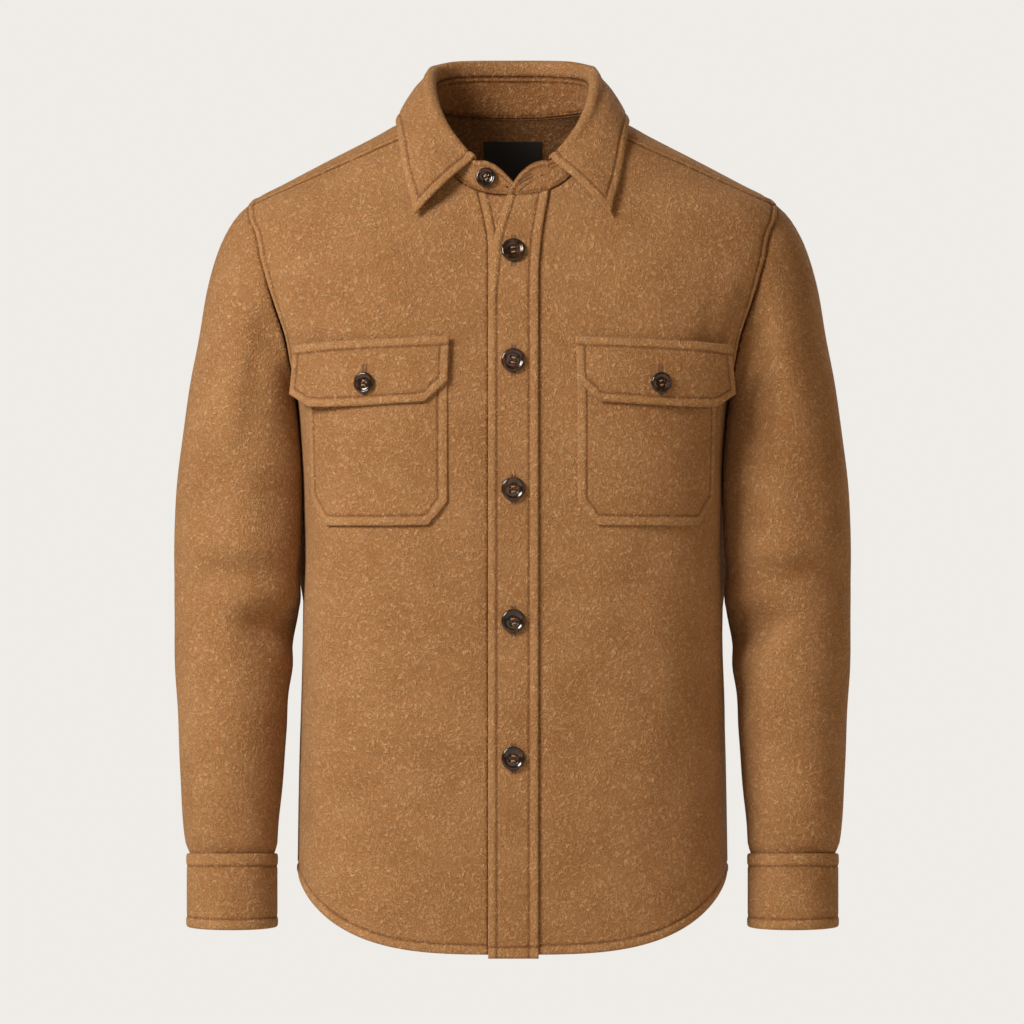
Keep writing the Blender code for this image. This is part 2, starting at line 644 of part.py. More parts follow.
def build_band():
    """The collar band, from the wearer's right end round the neck to the left one."""
    foot, top, _ = collar_places()
    end_top = np.stack([column(BAND_END, name) for name in ("top_x", "top_y", "top_z")], axis=-1)
    end_foot = body_skin(*neck_at(column(BAND_END, "along")))
    end_foot[0, 0] = end_top[0, 0]
    low = both_halves(np.concatenate([end_foot, foot]))
    high = both_halves(np.concatenate([end_top, top]))
    way = (high - low) / np.linalg.norm(high - low, axis=-1, keepdims=True)
    low = low + way * BAND_GAP
    high = high - way * ROLL_GAP
    shares = np.array([0.0, 0.3, 0.65, 1.0])[:, None, None]
    middle = low * (1 - shares) + high * shares
    inside, outside = thickened(middle, DOUBLE)
    wall("collar_stand", outside, inside)
    return outside


def build_band_button(outer):
    """The button on the wearer's right end of the band, which lies open."""
    x, height = BAND_BUTTON
    end = outer[:, -len(BAND_END):]
    line = np.array([[x, np.interp(x, row[:, 0], row[:, 1]), np.interp(x, row[:, 0], row[:, 2])]
                     for row in end])
    place = np.array([x, np.interp(height, line[:, 2], line[:, 1]), height])
    along = end[1, -1] - end[1, 0]
    out_way = across(line[-1] - line[0], along)
    out_way = out_way * -np.sign(out_way[1])
    seat = place + out_way * (BAND_BUTTON_LIFT + BUTTON_THICKNESS / 2)
    build_button("button_stand", BAND_BUTTON_RADIUS, seat, out_way)


def build_leaf():
    """The leaf: up from the band, over the roll and down to its edge."""
    _, top, edge = collar_places()
    out = (edge - top) * (1, 1, 0)
    out /= np.linalg.norm(out, axis=-1, keepdims=True)
    up = np.array([0.0, 0.0, 1.0])
    rise = column(COLLAR, "rise")[:, None]
    centre = top + (rise - ROLL_RADIUS) * up + out * ROLL_RADIUS
    rows = [top]
    for angle in np.radians((155.0, 115.0, 75.0, 35.0, 0.0)):
        rows.append(centre + ROLL_RADIUS * (out * math.cos(angle) + up * math.sin(angle)))
    start = rows[-1]
    for share in (0.3, 0.65, 1.0):
        belly = 2.5 * math.sin(share * math.pi)
        rows.append(start + (edge - start) * share + out * belly)
    middle = np.stack([both_halves(row) for row in rows])
    outer, inner = thickened(middle, DOUBLE)
    return wall("collar", outer, inner)


# Plackets, pockets, label and buttons -------------------------------------------

def build_placket(name, edge_x, seam_x, out, thick, edges):
    """A strip down the front between two lines; each gives x at a height."""
    share = np.concatenate([np.linspace(0, 0.8, 11), np.linspace(0.8, 1.0, 7)[1:]])
    across_share = np.linspace(0, 1, 5)
    top = np.array(PLACKET_TOP_Z)
    ends = edge_x(top) * (1 - across_share) + seam_x(top) * across_share
    seam_z = neck_at(neck_share(np.maximum(np.abs(ends), 0.1)))[1] - SEAM_GAP
    z = PLACKET_BOTTOM_Z + (seam_z - PLACKET_BOTTOM_Z)[None] * share[:, None]
    x = edge_x(z) * (1 - across_share) + seam_x(z) * across_share
    places = pairs(front_quarter(x, z), z)
    return panel(name, places, edges, thick=thick, out=out)


def strip_edge(z):
    return smooth(z, column(PLACKET, "z"), column(PLACKET, "edge_x"))


def build_laid(name, lines, side, out, thick, count):
    """A pocket or flap from a table of lines, laid on the front."""
    share = np.linspace(0, 1, count)[:, None]
    places = np.linspace(0, len(lines) - 1, 2 * len(lines) - 1)
    rows = {name: np.interp(places, range(len(lines)), column(lines, name))
            for name in Line._fields}
    x = rows["top_x"] * (1 - share) + rows["foot_x"] * share
    z = rows["top_z"] * (1 - share) + rows["foot_z"] * share
    lift = rows["lift"] * (0.35 + 0.65 * share)
    quarter = side * front_quarter(x, z)
    outer = body_point(quarter, z, out + thick + lift)
    inner = body_point(quarter, z, out + lift)
    return wall(name, outer, inner)


def build_label():
    x, z = np.meshgrid(np.linspace(-1, 1, 5) * LABEL_HALF_WIDTH,
                       np.linspace(LABEL_TOP_Z, LABEL_FOOT_Z, 5))
    quarter = 2 - front_quarter(x, z)
    depth = -CLOTH - LABEL_GAP
    return wall("label_neck", body_point(quarter, z, depth),
                body_point(quarter, z, depth - LABEL_WALL), LABEL)


def build_button(name, radius, place, out_way):
    """A turned button with a raised rim and a dished face, facing out_way."""
    half = BUTTON_THICKNESS / 2
    profile = ((0.0, -half), (0.80 * radius, -half), (radius, -0.2 * half),
               (0.98 * radius, 0.7 * half), (0.88 * radius, half), (0.70 * radius, 0.35 * half),
               (0.0, 0.25 * half))
    sides = 16
    piece = bmesh.new()
    rings = []
    for reach, height in profile:
        if reach == 0:
            rings.append([piece.verts.new((0, 0, height))])
            continue
        angles = [2 * math.pi * k / sides for k in range(sides)]
        rings.append([piece.verts.new((reach * math.cos(a), reach * math.sin(a), height))
                      for a in angles])
    for low, high in zip(rings, rings[1:]):
        for k in range(sides):
            corners = [low[k % len(low)], low[(k + 1) % len(low)],
                       high[(k + 1) % len(high)], high[k % len(high)]]
            piece.faces.new(list(dict.fromkeys(corners)))
    points = np.array([vertex.co for vertex in piece.verts])
    piece.verts.index_update()
    faces = [[vertex.index for vertex in face.verts] for face in piece.faces]
    piece.free()
    out_way = np.asarray(out_way) / np.linalg.norm(out_way)
    side = np.cross((0, 0, 1), out_way)
    side /= np.linalg.norm(side)
    up = np.cross(out_way, side)
    turned = np.asarray(place) + points[:, :1] * side + points[:, 1:2] * up \
        + points[:, 2:] * out_way
    return add_object(name, turned, faces, HORN)


def build_cuff_button(name, side):
    """The button in the middle of the cuff's lap."""
    turn = np.array(CUFF_START + 360 + CUFF_LAP / 2)
    lap = CUFF_WALL + LAY_GAP
    flip = np.array([side, 1.0, 1.0])
    place = cuff_point(turn, 0.5, lap) * flip
    way = cuff_point(turn, 0.5, lap + 1.0) * flip - place
    seat = place + way * (LAY_GAP + BUTTON_THICKNESS / 2)
    build_button(name, SMALL_BUTTON_RADIUS, seat, way)


def front_button(name, radius, x, z, out):
    """A button on the front whose underside is out from the skin."""
    quarter = front_quarter(np.array(x), np.array(z))
    foot = body_point(quarter, np.array(z))
    way = body_point(quarter, np.array(z), 1.0) - foot
    return build_button(name, radius, foot + way * (out + LAY_GAP + BUTTON_THICKNESS / 2), way)


build_front("front_left", left_seam, False)
build_front("front_right", right_seam, True)
build_back()
build_yoke()
for wearer_side, flip_x in (("left", 1), ("right", -1)):
    build_sleeve("sleeve_" + wearer_side, flip_x)
    build_cuff("cuff_" + wearer_side, flip_x)
    build_laid("pocket_" + wearer_side, POCKET, flip_x, POCKET_LAY, CLOTH, 5)
    build_laid("flap_" + wearer_side, FLAP, flip_x, FLAP_LAY, DOUBLE, 3)
    front_button("button_pocket_" + wearer_side, SMALL_BUTTON_RADIUS,
                 flip_x * FLAP_BUTTON[0], FLAP_BUTTON[1], FLAP_BUTTON_LAY)
    build_cuff_button("button_cuff_" + wearer_side, flip_x)
build_band_button(build_band())
build_leaf()
build_placket("placket_left", strip_edge, left_seam, DOUBLE + LAY_GAP, DOUBLE, ())
build_placket("placket_right", lambda z: -right_seam(z), lambda z: -strip_edge(z) - UNDER_MARGIN,
              0.0, DOUBLE, ("left",))
build_label()
for number, height in enumerate(BUTTON_Z, start=1):
    front_button(f"button_front_{number}", BUTTON_RADIUS, BUTTON_X, height,
                 DOUBLE + LAY_GAP)
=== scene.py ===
# %% [markdown]
# # An overshirt in felted wool, filled out as if worn
#
# The real garment is cut from a thick, felted camel-coloured wool cloth, sewn edge to
# edge, turned and then stitched again from the outside. This file builds what the eye
# sees of it: the cloth with its rolled edges and sunk seams, the thread, the horn
# buttons and the light. The frame comes first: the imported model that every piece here
# has to fit.

import math
from collections import namedtuple

import bmesh
import bpy
import numpy as np
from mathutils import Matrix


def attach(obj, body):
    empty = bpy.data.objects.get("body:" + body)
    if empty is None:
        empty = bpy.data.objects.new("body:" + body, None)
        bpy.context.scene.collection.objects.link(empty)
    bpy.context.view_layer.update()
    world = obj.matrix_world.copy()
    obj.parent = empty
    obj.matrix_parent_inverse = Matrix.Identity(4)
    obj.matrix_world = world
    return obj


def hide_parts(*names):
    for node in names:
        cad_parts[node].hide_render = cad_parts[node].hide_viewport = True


def add_item(name, data):
    item = bpy.data.objects.new(name, data)
    bpy.context.scene.collection.objects.link(item)
    return item


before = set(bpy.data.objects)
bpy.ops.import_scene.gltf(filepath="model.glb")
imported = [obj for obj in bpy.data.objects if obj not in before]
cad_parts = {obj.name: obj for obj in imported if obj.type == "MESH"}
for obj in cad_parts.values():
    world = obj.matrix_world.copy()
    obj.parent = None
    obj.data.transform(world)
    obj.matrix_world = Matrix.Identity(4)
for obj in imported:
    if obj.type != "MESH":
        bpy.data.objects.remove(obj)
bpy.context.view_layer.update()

# %% [markdown]
# ## The sizes
#
# The origin is the middle of the neck at shoulder height, +X is the wearer's left, -Y
# the front and +Z up. A tailor works in millimetres, so every table does too, and a
# mesh is turned into metres only when it is written. The tables are those of the solids,
# so the cloth lies where the solids are, apart from a few millimetres at the elbows, the
# ends of the flaps, the collar's points and the cuffs' rims, drawn nearer the real ones.

# %% Sizes of the cloth and of the seams
MM = 0.001
SIDES = (("left", 1), ("right", -1))
CLOTH = 2.0              # one layer of felted wool
DOUBLE = 2.8             # where the cloth is sewn double
CUFF_WALL = 3.0
SEAM_GAP = 0.36          # between two pieces that are sewn edge to edge
LAY_GAP = 0.3            # under a piece that lies on another
SHOULDER_TIP_Z = -66.0
UNDERARM_Z = -240.0
ARMHOLE_FRONT = 66.0
ARMHOLE_BACK = 72.0
NECK_HALF_WIDTH = 70.0
NECK_FRONT_Z = -59.0
NECK_SIDE_Z = 15.0
NECK_BACK_Z = 9.0
SIDE_HEM_Z = -655.0
HEM_DROP = 72.0
BACK_RISE = 5.0
YOKE_FRONT_TURN = 15.0
YOKE_BACK_TURN = -60.0
YOKE_NECK_X = 69.5
PLACKET_SEAM_X = 22.9
PLACKET_EDGE_X = 21.5
PLACKET_BOTTOM_Z = -730.4
PLACKET_TOP_Z = -58.0
FRONT_TOP_Z = -57.0
UNDER_MARGIN = 0.5       # how much narrower the under placket is, so that it stays hidden
STITCH_PITCH = 3.3       # one lockstitch of strong thread
STITCH_SPACE = 0.55      # and the cloth that shows between two stitches

# %% The body, section by section
Section = namedtuple("Section", "z half_width front_depth back_depth squareness")
BODY = (
    Section(-745.0, 190.0, 124.0, 122.0, 2.8),
    Section(-655.0, 189.0, 125.0, 123.0, 2.8),
    Section(-560.0, 187.4, 127.0, 122.0, 2.9),
    Section(-480.0, 185.0, 128.5, 120.0, 3.0),
    Section(-420.0, 184.0, 129.0, 120.0, 3.0),
    Section(-372.0, 183.8, 130.0, 122.0, 3.1),
    Section(-323.0, 185.0, 131.0, 125.0, 3.1),
    Section(-266.0, 187.4, 131.0, 128.0, 3.2),
    Section(-234.0, 191.0, 129.5, 128.0, 3.2),
    Section(-204.0, 200.5, 127.0, 127.0, 3.2),
    Section(-182.0, 208.6, 123.5, 126.0, 3.2),
    Section(-150.0, 227.0, 116.0, 122.5, 3.0),
    Section(-134.0, 235.0, 111.5, 120.5, 2.9),
    Section(-108.0, 243.0, 103.0, 115.0, 2.7),
    Section(-84.0, 243.0, 94.5, 108.5, 2.5),
    Section(-72.0, 237.5, 90.0, 104.5, 2.45),
    Section(-62.5, 227.0, 84.5, 100.0, 2.4),
    Section(-50.0, 203.0, 79.0, 93.0, 2.3),
    Section(-30.0, 165.0, 72.0, 82.0, 2.3),
    Section(-5.3, 117.0, 65.0, 68.0, 2.2),
    Section(2.6, 103.0, 60.0, 62.0, 2.2),
    Section(15.0, 70.0, 50.0, 52.0, 2.2),
    Section(22.0, 58.0, 46.0, 48.0, 2.2),
)

# %% The sleeve, ring by ring, and its folds
Ring = namedtuple("Ring", "outer_x outer_z inner_x inner_z mid_y front back")
SLEEVE = (
    Ring(231.0, -66.0, 190.3, -240.0, 0.0, 66.0, 72.0),
    Ring(241.0, -75.7, 191.2, -243.0, 1.0, 68.0, 73.0),
    Ring(251.7, -92.4, 191.0, -247.0, 2.0, 69.0, 73.5),
    Ring(260.0, -112.0, 190.4, -252.0, 2.0, 69.5, 73.5),
    Ring(268.4, -142.6, 189.6, -259.0, 2.0, 69.5, 73.0),
    Ring(276.3, -187.4, 188.9, -270.0, 1.0, 69.0, 71.5),
    Ring(284.0, -228.0, 188.0, -287.0, 0.0, 68.0, 69.5),
    Ring(290.4, -270.0, 187.2, -308.0, -1.0, 66.5, 67.5),
    Ring(295.0, -315.0, 186.6, -333.0, -2.0, 65.0, 65.5),
    Ring(297.6, -358.0, 185.9, -362.0, -3.5, 63.5, 63.5),
    Ring(298.6, -396.0, 188.4, -396.0, -5.0, 62.0, 61.5),
    Ring(298.8, -432.0, 192.0, -432.0, -7.0, 59.5, 59.0),
    Ring(298.4, -470.0, 195.6, -470.0, -10.0, 56.5, 56.0),
    Ring(297.0, -510.0, 198.6, -510.0, -13.5, 53.0, 52.5),
    Ring(295.0, -550.0, 201.4, -550.0, -17.0, 49.5, 49.0),
    Ring(291.8, -590.0, 204.2, -590.0, -20.5, 45.5, 45.5),
    Ring(288.6, -618.0, 206.6, -618.0, -22.5, 42.0, 42.0),
    Ring(286.6, -632.0, 207.6, -632.0, -23.5, 39.5, 39.5),
    Ring(283.3, -639.0, 210.4, -639.0, -24.0, 34.0, 34.0),
    Ring(283.3, -646.0, 210.4, -646.0, -24.0, 34.0, 34.0),
)
Fold = namedtuple("Fold", "z turn depth half_height half_turn lean")
SLEEVE_FOLDS = (
    Fold(-405.0, 168.0, 5.0, 16.0, 40.0, 0.10),
    Fold(-437.0, 150.0, -8.0, 20.0, 46.0, 0.20),
    Fold(-470.0, 162.0, 3.5, 18.0, 36.0, 0.20),
    Fold(-215.0, 98.0, -5.0, 75.0, 17.0, 0.0),
    Fold(-345.0, 70.0, -2.5, 60.0, 22.0, 0.25),
    Fold(-330.0, 215.0, -5.0, 40.0, 34.0, -0.30),
    Fold(-560.0, 305.0, -2.5, 34.0, 40.0, 0.30),
)

# %% The collar: its places round the neck, and the band's rounded ends
Place = namedtuple("Place", "along top_x top_y top_z rise edge_x edge_z behind")
COLLAR = (
    Place(0.115, 32.0, -75.0, -28.5, 4.2, 86.0, -77.5, False),
    Place(0.16, 40.5, -72.5, -22.5, 6.0, 88.6, -66.5, False),
    Place(0.22, 49.5, -67.5, -13.5, 7.5, 92.0, -54.0, False),
    Place(0.29, 57.5, -60.0, -3.0, 9.0, 94.8, -42.0, False),
    Place(0.36, 63.0, -50.0, 7.5, 10.0, 97.0, -30.0, False),
    Place(0.43, 66.5, -38.0, 17.0, 11.0, 98.6, -18.5, False),
    Place(0.50, 68.5, -25.0, 25.5, 11.5, 99.8, -8.0, False),
    Place(0.56, 69.0, -12.0, 32.0, 12.0, 100.4, -0.8, False),
    Place(0.62, 68.8, 1.5, 37.0, 12.0, 100.8, 3.6, False),
    Place(0.68, 66.0, 15.5, 41.0, 12.5, 97.0, 4.6, True),
    Place(0.74, 59.5, 28.5, 43.5, 12.5, 84.5, 2.8, True),
    Place(0.80, 49.0, 39.0, 45.0, 13.0, 68.0, 1.0, True),
    Place(0.87, 33.5, 47.5, 45.8, 13.0, 46.0, 0.5, True),
    Place(0.935, 17.0, 51.5, 46.0, 13.0, 23.5, 0.0, True),
    Place(1.0, 0.0, 53.0, 46.0, 13.0, 0.0, 0.0, True),
)
BandEnd = namedtuple("BandEnd", "along top_x top_y top_z")
BAND_END = (
    BandEnd(0.0, 0.5, -82.0, -49.5),
    BandEnd(0.02, 6.0, -80.5, -40.0),
    BandEnd(0.05, 14.0, -78.5, -33.0),
    BandEnd(0.09, 25.0, -76.5, -28.5),
)
ROLL_RADIUS = 4.0
ROLL_GAP = 0.3           # the seams are drawn closed here, over the solids' wider gaps
BAND_GAP = -0.2
LEAF_LIFT = 2.6
POINT_LIFT = 3.4         # the points stand this much further off the chest

# %% The plackets, the pockets and their flaps
Strip = namedtuple("Strip", "z edge_x seam_x under_x")
PLACKET = (
    Strip(PLACKET_BOTTOM_Z, -PLACKET_EDGE_X, PLACKET_SEAM_X, PLACKET_EDGE_X),
    Strip(-150.0, -PLACKET_EDGE_X, PLACKET_SEAM_X, PLACKET_EDGE_X),
    Strip(-130.0, -19.6, 23.0, 21.5),
    Strip(-115.0, -18.4, 23.8, 21.6),
    Strip(-97.0, -16.3, 25.5, 22.0),
    Strip(-82.7, -12.3, 27.4, 24.4),
    Strip(-69.5, -7.9, 29.8, 27.2),
    Strip(PLACKET_TOP_Z, -4.4, 31.8, 30.0),
)
Line = namedtuple("Line", "top_x top_z foot_x foot_z lift")
FLAP = (
    Line(55.2, -184.0, 56.6, -223.5, 0.0),
    Line(63.6, -184.3, 66.8, -232.5, 0.0),
    Line(73.5, -184.7, 77.0, -241.4, 0.0),
    Line(103.0, -185.8, 104.0, -243.0, 0.0),
    Line(130.0, -186.8, 130.0, -244.8, 0.4),
    Line(148.0, -187.6, 147.0, -245.4, 1.8),
    Line(162.0, -188.2, 159.0, -245.6, 4.0),
    Line(175.5, -189.1, 170.5, -244.8, 6.5),
    Line(186.5, -189.6, 183.0, -232.5, 9.0),
)
POCKET = (
    Line(57.0, -196.0, 57.0, -329.0, 0.0),
    Line(65.0, -196.0, 65.5, -339.5, 0.0),
    Line(74.5, -196.0, 74.5, -349.5, 0.0),
    Line(102.0, -196.0, 102.0, -350.0, 0.1),
    Line(128.0, -196.0, 128.0, -350.0, 0.3),
    Line(146.0, -196.0, 146.0, -350.0, 0.4),
    Line(162.0, -196.0, 162.0, -350.0, 0.5),
    Line(170.5, -196.0, 168.0, -340.0, 0.6),
    Line(178.5, -196.0, 174.5, -327.5, 0.6),
)
POCKET_LAY = 0.4
FLAP_LAY = 3.6           # a flap lies over its pocket
POCKET_SWELL = 0.6       # how far the middle of a pocket stands out
FLAP_SWELL = 0.5
FLAP_SEAT = 0.4          # the flap's swell where its button sits
FLAP_HOLE_LIFT = 0.75    # and where its buttonhole's thread lies
PLACKET_HOLE_LIFT = 0.1
FLAP_BUTTON = (128.0, -224.4)
BAND_BUTTON = (-22.9, -44.0)
LABEL_HALF_WIDTH = 25.5
LABEL_TOP_Z = -9.6
LABEL_FOOT_Z = -58.0
LABEL_WALL = 0.8
LABEL_GAP = 0.4          # between the yoke's inside and the label

# %% The cuffs and the buttons
CUFF_TOP_Z = -638.5
CUFF_FOOT_Z = -700.0
CUFF_X = 247.0
CUFF_Y = -24.0
CUFF_OUTER = 40.0
CUFF_DROP = 6.0
CUFF_START = -75.0
CUFF_LAP = 30.0          # degrees that the end laps over, after a climb over as many
BUTTON_X = 0.7
BUTTON_Z = (-109.1, -205.0, -317.7, -433.8, -554.4)
BUTTON_RADIUS = 10.6
SMALL_BUTTON_RADIUS = 9.4
BAND_BUTTON_RADIUS = 8.8
BAND_BUTTON_LIFT = 0.9
BUTTON_THICKNESS = 3.6

# %% [markdown]
# ## The form under the cloth
#
# A filled-out garment has no flat places, so the body is drawn as rounded sections, one
# above the other, with a smooth curve between them. A cloth simulation could fill it
# too, but it would not keep the sizes that a pattern cutter works to. The same few
# functions find any place on it: the hem's curve, the armhole and the neckline.

# %% Measuring along a line, and smooth curves through a table's columns
def run_along(points):
    """How far along its line each point lies, in mm."""
    step = np.linalg.norm(np.diff(points, axis=0), axis=1)
    return np.concatenate([[0.0], np.cumsum(step)])


def spots_at(places, along, points):
    """The points at these places along a line."""
    return np.stack([np.interp(places, along, points[:, k]) for k in range(3)], axis=1)


def ease(share):
    """From 0 to 1, level at both ends."""
    return share ** 2 * (3 - 2 * share)


def column(rows, name):
    return np.array([getattr(row, name) for row in rows], float)


def smooth(at, keys, values):
    """A smooth curve through (keys, values) that never overshoots them."""
    slope = np.diff(values) / np.diff(keys)
    inner = slope[1:] * slope[:-1]
    total = slope[1:] + slope[:-1]
    mean = np.where(inner > 0, 2 * inner / np.where(total == 0, 1, total), 0.0)
    tangent = np.concatenate([slope[:1], mean, slope[-1:]])
    at = np.clip(at, keys[0], keys[-1])
    low = np.clip(np.searchsorted(keys, at) - 1, 0, len(keys) - 2)
    step = keys[low + 1] - keys[low]
    t = (at - keys[low]) / step
    rise = values[low + 1] - values[low]
    start = tangent[low] * step
    end = tangent[low + 1] * step
    return values[low] + start * t + (3 * rise - 2 * start - end) * t**2 \
        + (start + end - 2 * rise) * t**3


# %% A point of the body: quarter 0 is the centre front, 1 the left side, 2 the back
def section(z):
    keys = column(BODY, "z")
    return [smooth(z, keys, column(BODY, name)) for name in Section._fields[1:]]


def power(value, exponent):
    return np.sign(value) * np.abs(value) ** exponent


def body_skin(quarter, z):
    half_width, front, back, squareness = section(z)
    angle = quarter * math.pi / 2
    depth = np.where(np.cos(angle) > 0, -front, -back)
    x = half_width * power(np.sin(angle), 2 / squareness)
    y = depth * power(np.cos(angle), 2 / squareness)
    return np.stack([x, y, z + 0 * x], axis=-1)


def across(first, second):
    """Unit vectors square to two sets of directions."""
    normal = np.cross(first, second)
    return normal / np.linalg.norm(normal, axis=-1, keepdims=True)


def body_point(quarter, z, out=0.0):
    """A point moved out from the body's skin by out."""
    quarter = np.asarray(quarter, float)
    z = np.asarray(z, float)
    around = body_skin(quarter + 0.004, z) - body_skin(quarter - 0.004, z)
    up = body_skin(quarter, z + 1.0) - body_skin(quarter, z - 1.0)
    return body_skin(quarter, z) + across(around, up) * np.expand_dims(out + 0 * z, -1)


def front_quarter(x, z):
    """Where on the front the skin has this x at this height."""
    half_width, _, _, squareness = section(z)
    share = np.clip(np.abs(x) / half_width, 0, 1)
    return np.sign(x) * np.arcsin(share ** (squareness / 2)) * 2 / math.pi


# %% The curved hem, the armhole and the neckline
def hem_z(quarter):
    _, _, _, squareness = section(np.full_like(quarter, SIDE_HEM_Z))
    reach = np.abs(np.sin(quarter * math.pi / 2)) ** (2 / squareness)
    drop = HEM_DROP - BACK_RISE * (np.abs(quarter) > 1)
    return SIDE_HEM_Z - drop * (1 - np.minimum(reach, 1) ** 3.4) ** 0.625


def armhole(turn):
    """(quarter, z) of the armhole; turn is 0 at its top, 90 at the front, in degrees."""
    angle = np.radians(turn)
    middle = (SHOULDER_TIP_Z + UNDERARM_Z) / 2
    z = middle + (SHOULDER_TIP_Z - middle) * np.cos(angle)
    _, front, back, squareness = section(z)
    reach = np.abs(np.sin(angle)) * np.where(np.sin(angle) > 0, ARMHOLE_FRONT, ARMHOLE_BACK)
    share = reach / np.where(np.sin(angle) > 0, front, back)
    swing = np.arcsin(share ** (squareness / 2)) * 2 / math.pi
    return 1 - np.sign(np.sin(angle)) * swing, z


def neckline():
    angle = np.radians(np.linspace(0.0, 180.0, 1441))
    before = angle < math.pi / 2
    rise = (1 - np.cos(np.minimum(angle, math.pi / 2))) ** 1.27
    z = np.where(before, NECK_FRONT_Z + (NECK_SIDE_Z - NECK_FRONT_Z) * rise,
                 NECK_BACK_Z + (NECK_SIDE_Z - NECK_BACK_Z) * np.sin(angle) ** 2)
    quarter = front_quarter(NECK_HALF_WIDTH * np.sin(angle), z)
    quarter = np.where(before, quarter, 2 - quarter)
    along = run_along(body_skin(quarter, z))
    return quarter, z, along / along[-1]


NECK_QUARTER, NECK_Z, NECK_ALONG = neckline()


def neck_at(along):
    return np.interp(along, NECK_ALONG, NECK_QUARTER), np.interp(along, NECK_ALONG, NECK_Z)


def neck_share(x):
    x_here = body_skin(NECK_QUARTER, NECK_Z)[:, 0]
    front = NECK_ALONG < NECK_ALONG[np.argmax(x_here > YOKE_NECK_X + 0.4)]
    return np.interp(x, x_here[front], NECK_ALONG[front])


print("armhole, front edge (mm):", body_skin(*armhole(np.array(90.0))).round(1))

# %% [markdown]
# ## Laying cloth evenly
#
# A grid of points can only show a sunk seam when its lines run along the seam. So each
# panel is laid out in its own two directions, u across and v up, between four border
# lines, and the lines crowd together next to the borders. To keep the spaces true in
# millimetres, a place on the body is also known by its share of the way round.

# %% A place round the body as a share of the tape measure's length
HALF_STEPS = 0.5 - 0.5 * np.cos(np.linspace(0, math.pi, 181))
TABLE_QUARTER = np.concatenate([HALF_STEPS, 1 + HALF_STEPS[1:]])
TABLE_Z = np.linspace(BODY[0].z, BODY[-1].z, 768)
TABLE_SHARE = np.linspace(0, 1, 1201)


def tape_table():
    """For each height, the quarter at each share of the way from front to back."""
    rows = []
    for z in TABLE_Z:
        along = run_along(body_skin(TABLE_QUARTER, np.full_like(TABLE_QUARTER, z)))
        rows.append(np.interp(TABLE_SHARE, along / along[-1], TABLE_QUARTER))
    return np.array(rows)


TAPE = tape_table()


def quarter_of(share, z):
    """The quarter at a share of the tape; past 1 it runs on round to the other side."""
    folded = np.where(share > 1, 2 - share, np.abs(share))
    row = np.clip((z - TABLE_Z[0]) / (TABLE_Z[1] - TABLE_Z[0]), 0, len(TABLE_Z) - 1.001)
    place = np.clip(folded * (len(TABLE_SHARE) - 1), 0, len(TABLE_SHARE) - 1.001)
    low_row, low = row.astype(int), place.astype(int)
    up, on = row - low_row, place - low
    quarter = (TAPE[low_row, low] * (1 - on) + TAPE[low_row, low + 1] * on) * (1 - up) \
        + (TAPE[low_row + 1, low] * (1 - on) + TAPE[low_row + 1, low + 1] * on) * up
    return np.where(share > 1, 4 - quarter, np.where(share < 0, -quarter, quarter))


def share_of(quarter, z):
    """The share of the tape at one quarter and height."""
    quarter, z = np.broadcast_arrays(np.asarray(quarter, float), np.asarray(z, float))
    row = np.rint((z - TABLE_Z[0]) / (TABLE_Z[1] - TABLE_Z[0])).astype(int)
    folded = np.where(quarter > 2, 4 - quarter, quarter)
    share = np.array([np.interp(q, TAPE[r], TABLE_SHARE)
                      for q, r in zip(folded.ravel(), row.ravel())]).reshape(quarter.shape)
    return np.where(quarter > 2, 2 - share, share)


chest = run_along(body_skin(TABLE_QUARTER, np.full_like(TABLE_QUARTER, UNDERARM_Z)))
print("tape round the chest (mm):", round(2 * float(chest[-1])))


# %% A border line, and a panel between four of them
def border(quarter, z):
    """A line on the body as (share, z), evenly stepped along its real length."""
    quarter, z = np.broadcast_arrays(np.asarray(quarter, float), np.asarray(z, float))
    along = run_along(body_skin(quarter, z))
    even = np.linspace(0, along[-1], 401)
    share = share_of(quarter, z)
    return np.stack([np.interp(even, along, share), np.interp(even, along, z)], axis=-1)


def at(line, share):
    """(share of the tape, z) at each place along a border."""
    keys = np.linspace(0, 1, len(line))
    return np.stack([np.interp(share, keys, line[:, 0]), np.interp(share, keys, line[:, 1])],
                    axis=-1)


def panel_place(first, last, left, right, fade=3, mirror=False):
    """place(u, v, out) of a body panel between four borders."""
    def place(u, v, out):
        u, v, out = np.broadcast_arrays(u, v, out)
        across_u, up_v = u[..., None], v[..., None]
        lower = (1 - across_u) * left[0] + across_u * right[0]
        upper = (1 - across_u) * left[-1] + across_u * right[-1]
        spot = (1 - across_u) * at(left, v) + across_u * at(right, v) \
            + (1 - up_v) ** fade * (at(first, u) - lower) + up_v ** fade * (at(last, u) - upper)
        quarter = quarter_of(spot[..., 0], spot[..., 1])
        return body_point(-quarter if mirror else quarter, spot[..., 1], out)
    return place

# %% [markdown]
# ## Materials
#
# Felted wool is woven, then washed and brushed until the fibres mat over the weave. What
# the eye gets is not the weave but short curly fibres, 3 to 5 mm long and under 1 mm
# wide, lying every way, some pale and some brown, with a soft sheen where the light
# grazes them. The fibres are drawn as the height lines of a slow noise: such lines bend
# and close on themselves just as curls do. They cost no mesh, and follow any fold.

# %% Colours are written as sRGB hex values and turned to linear in one place
def linear(hex_colour):
    values = [int(hex_colour[k:k + 2], 16) / 255 for k in (0, 2, 4)]
    return tuple(v / 12.92 if v <= 0.04045 else ((v + 0.055) / 1.055) ** 2.4
                 for v in values) + (1.0,)


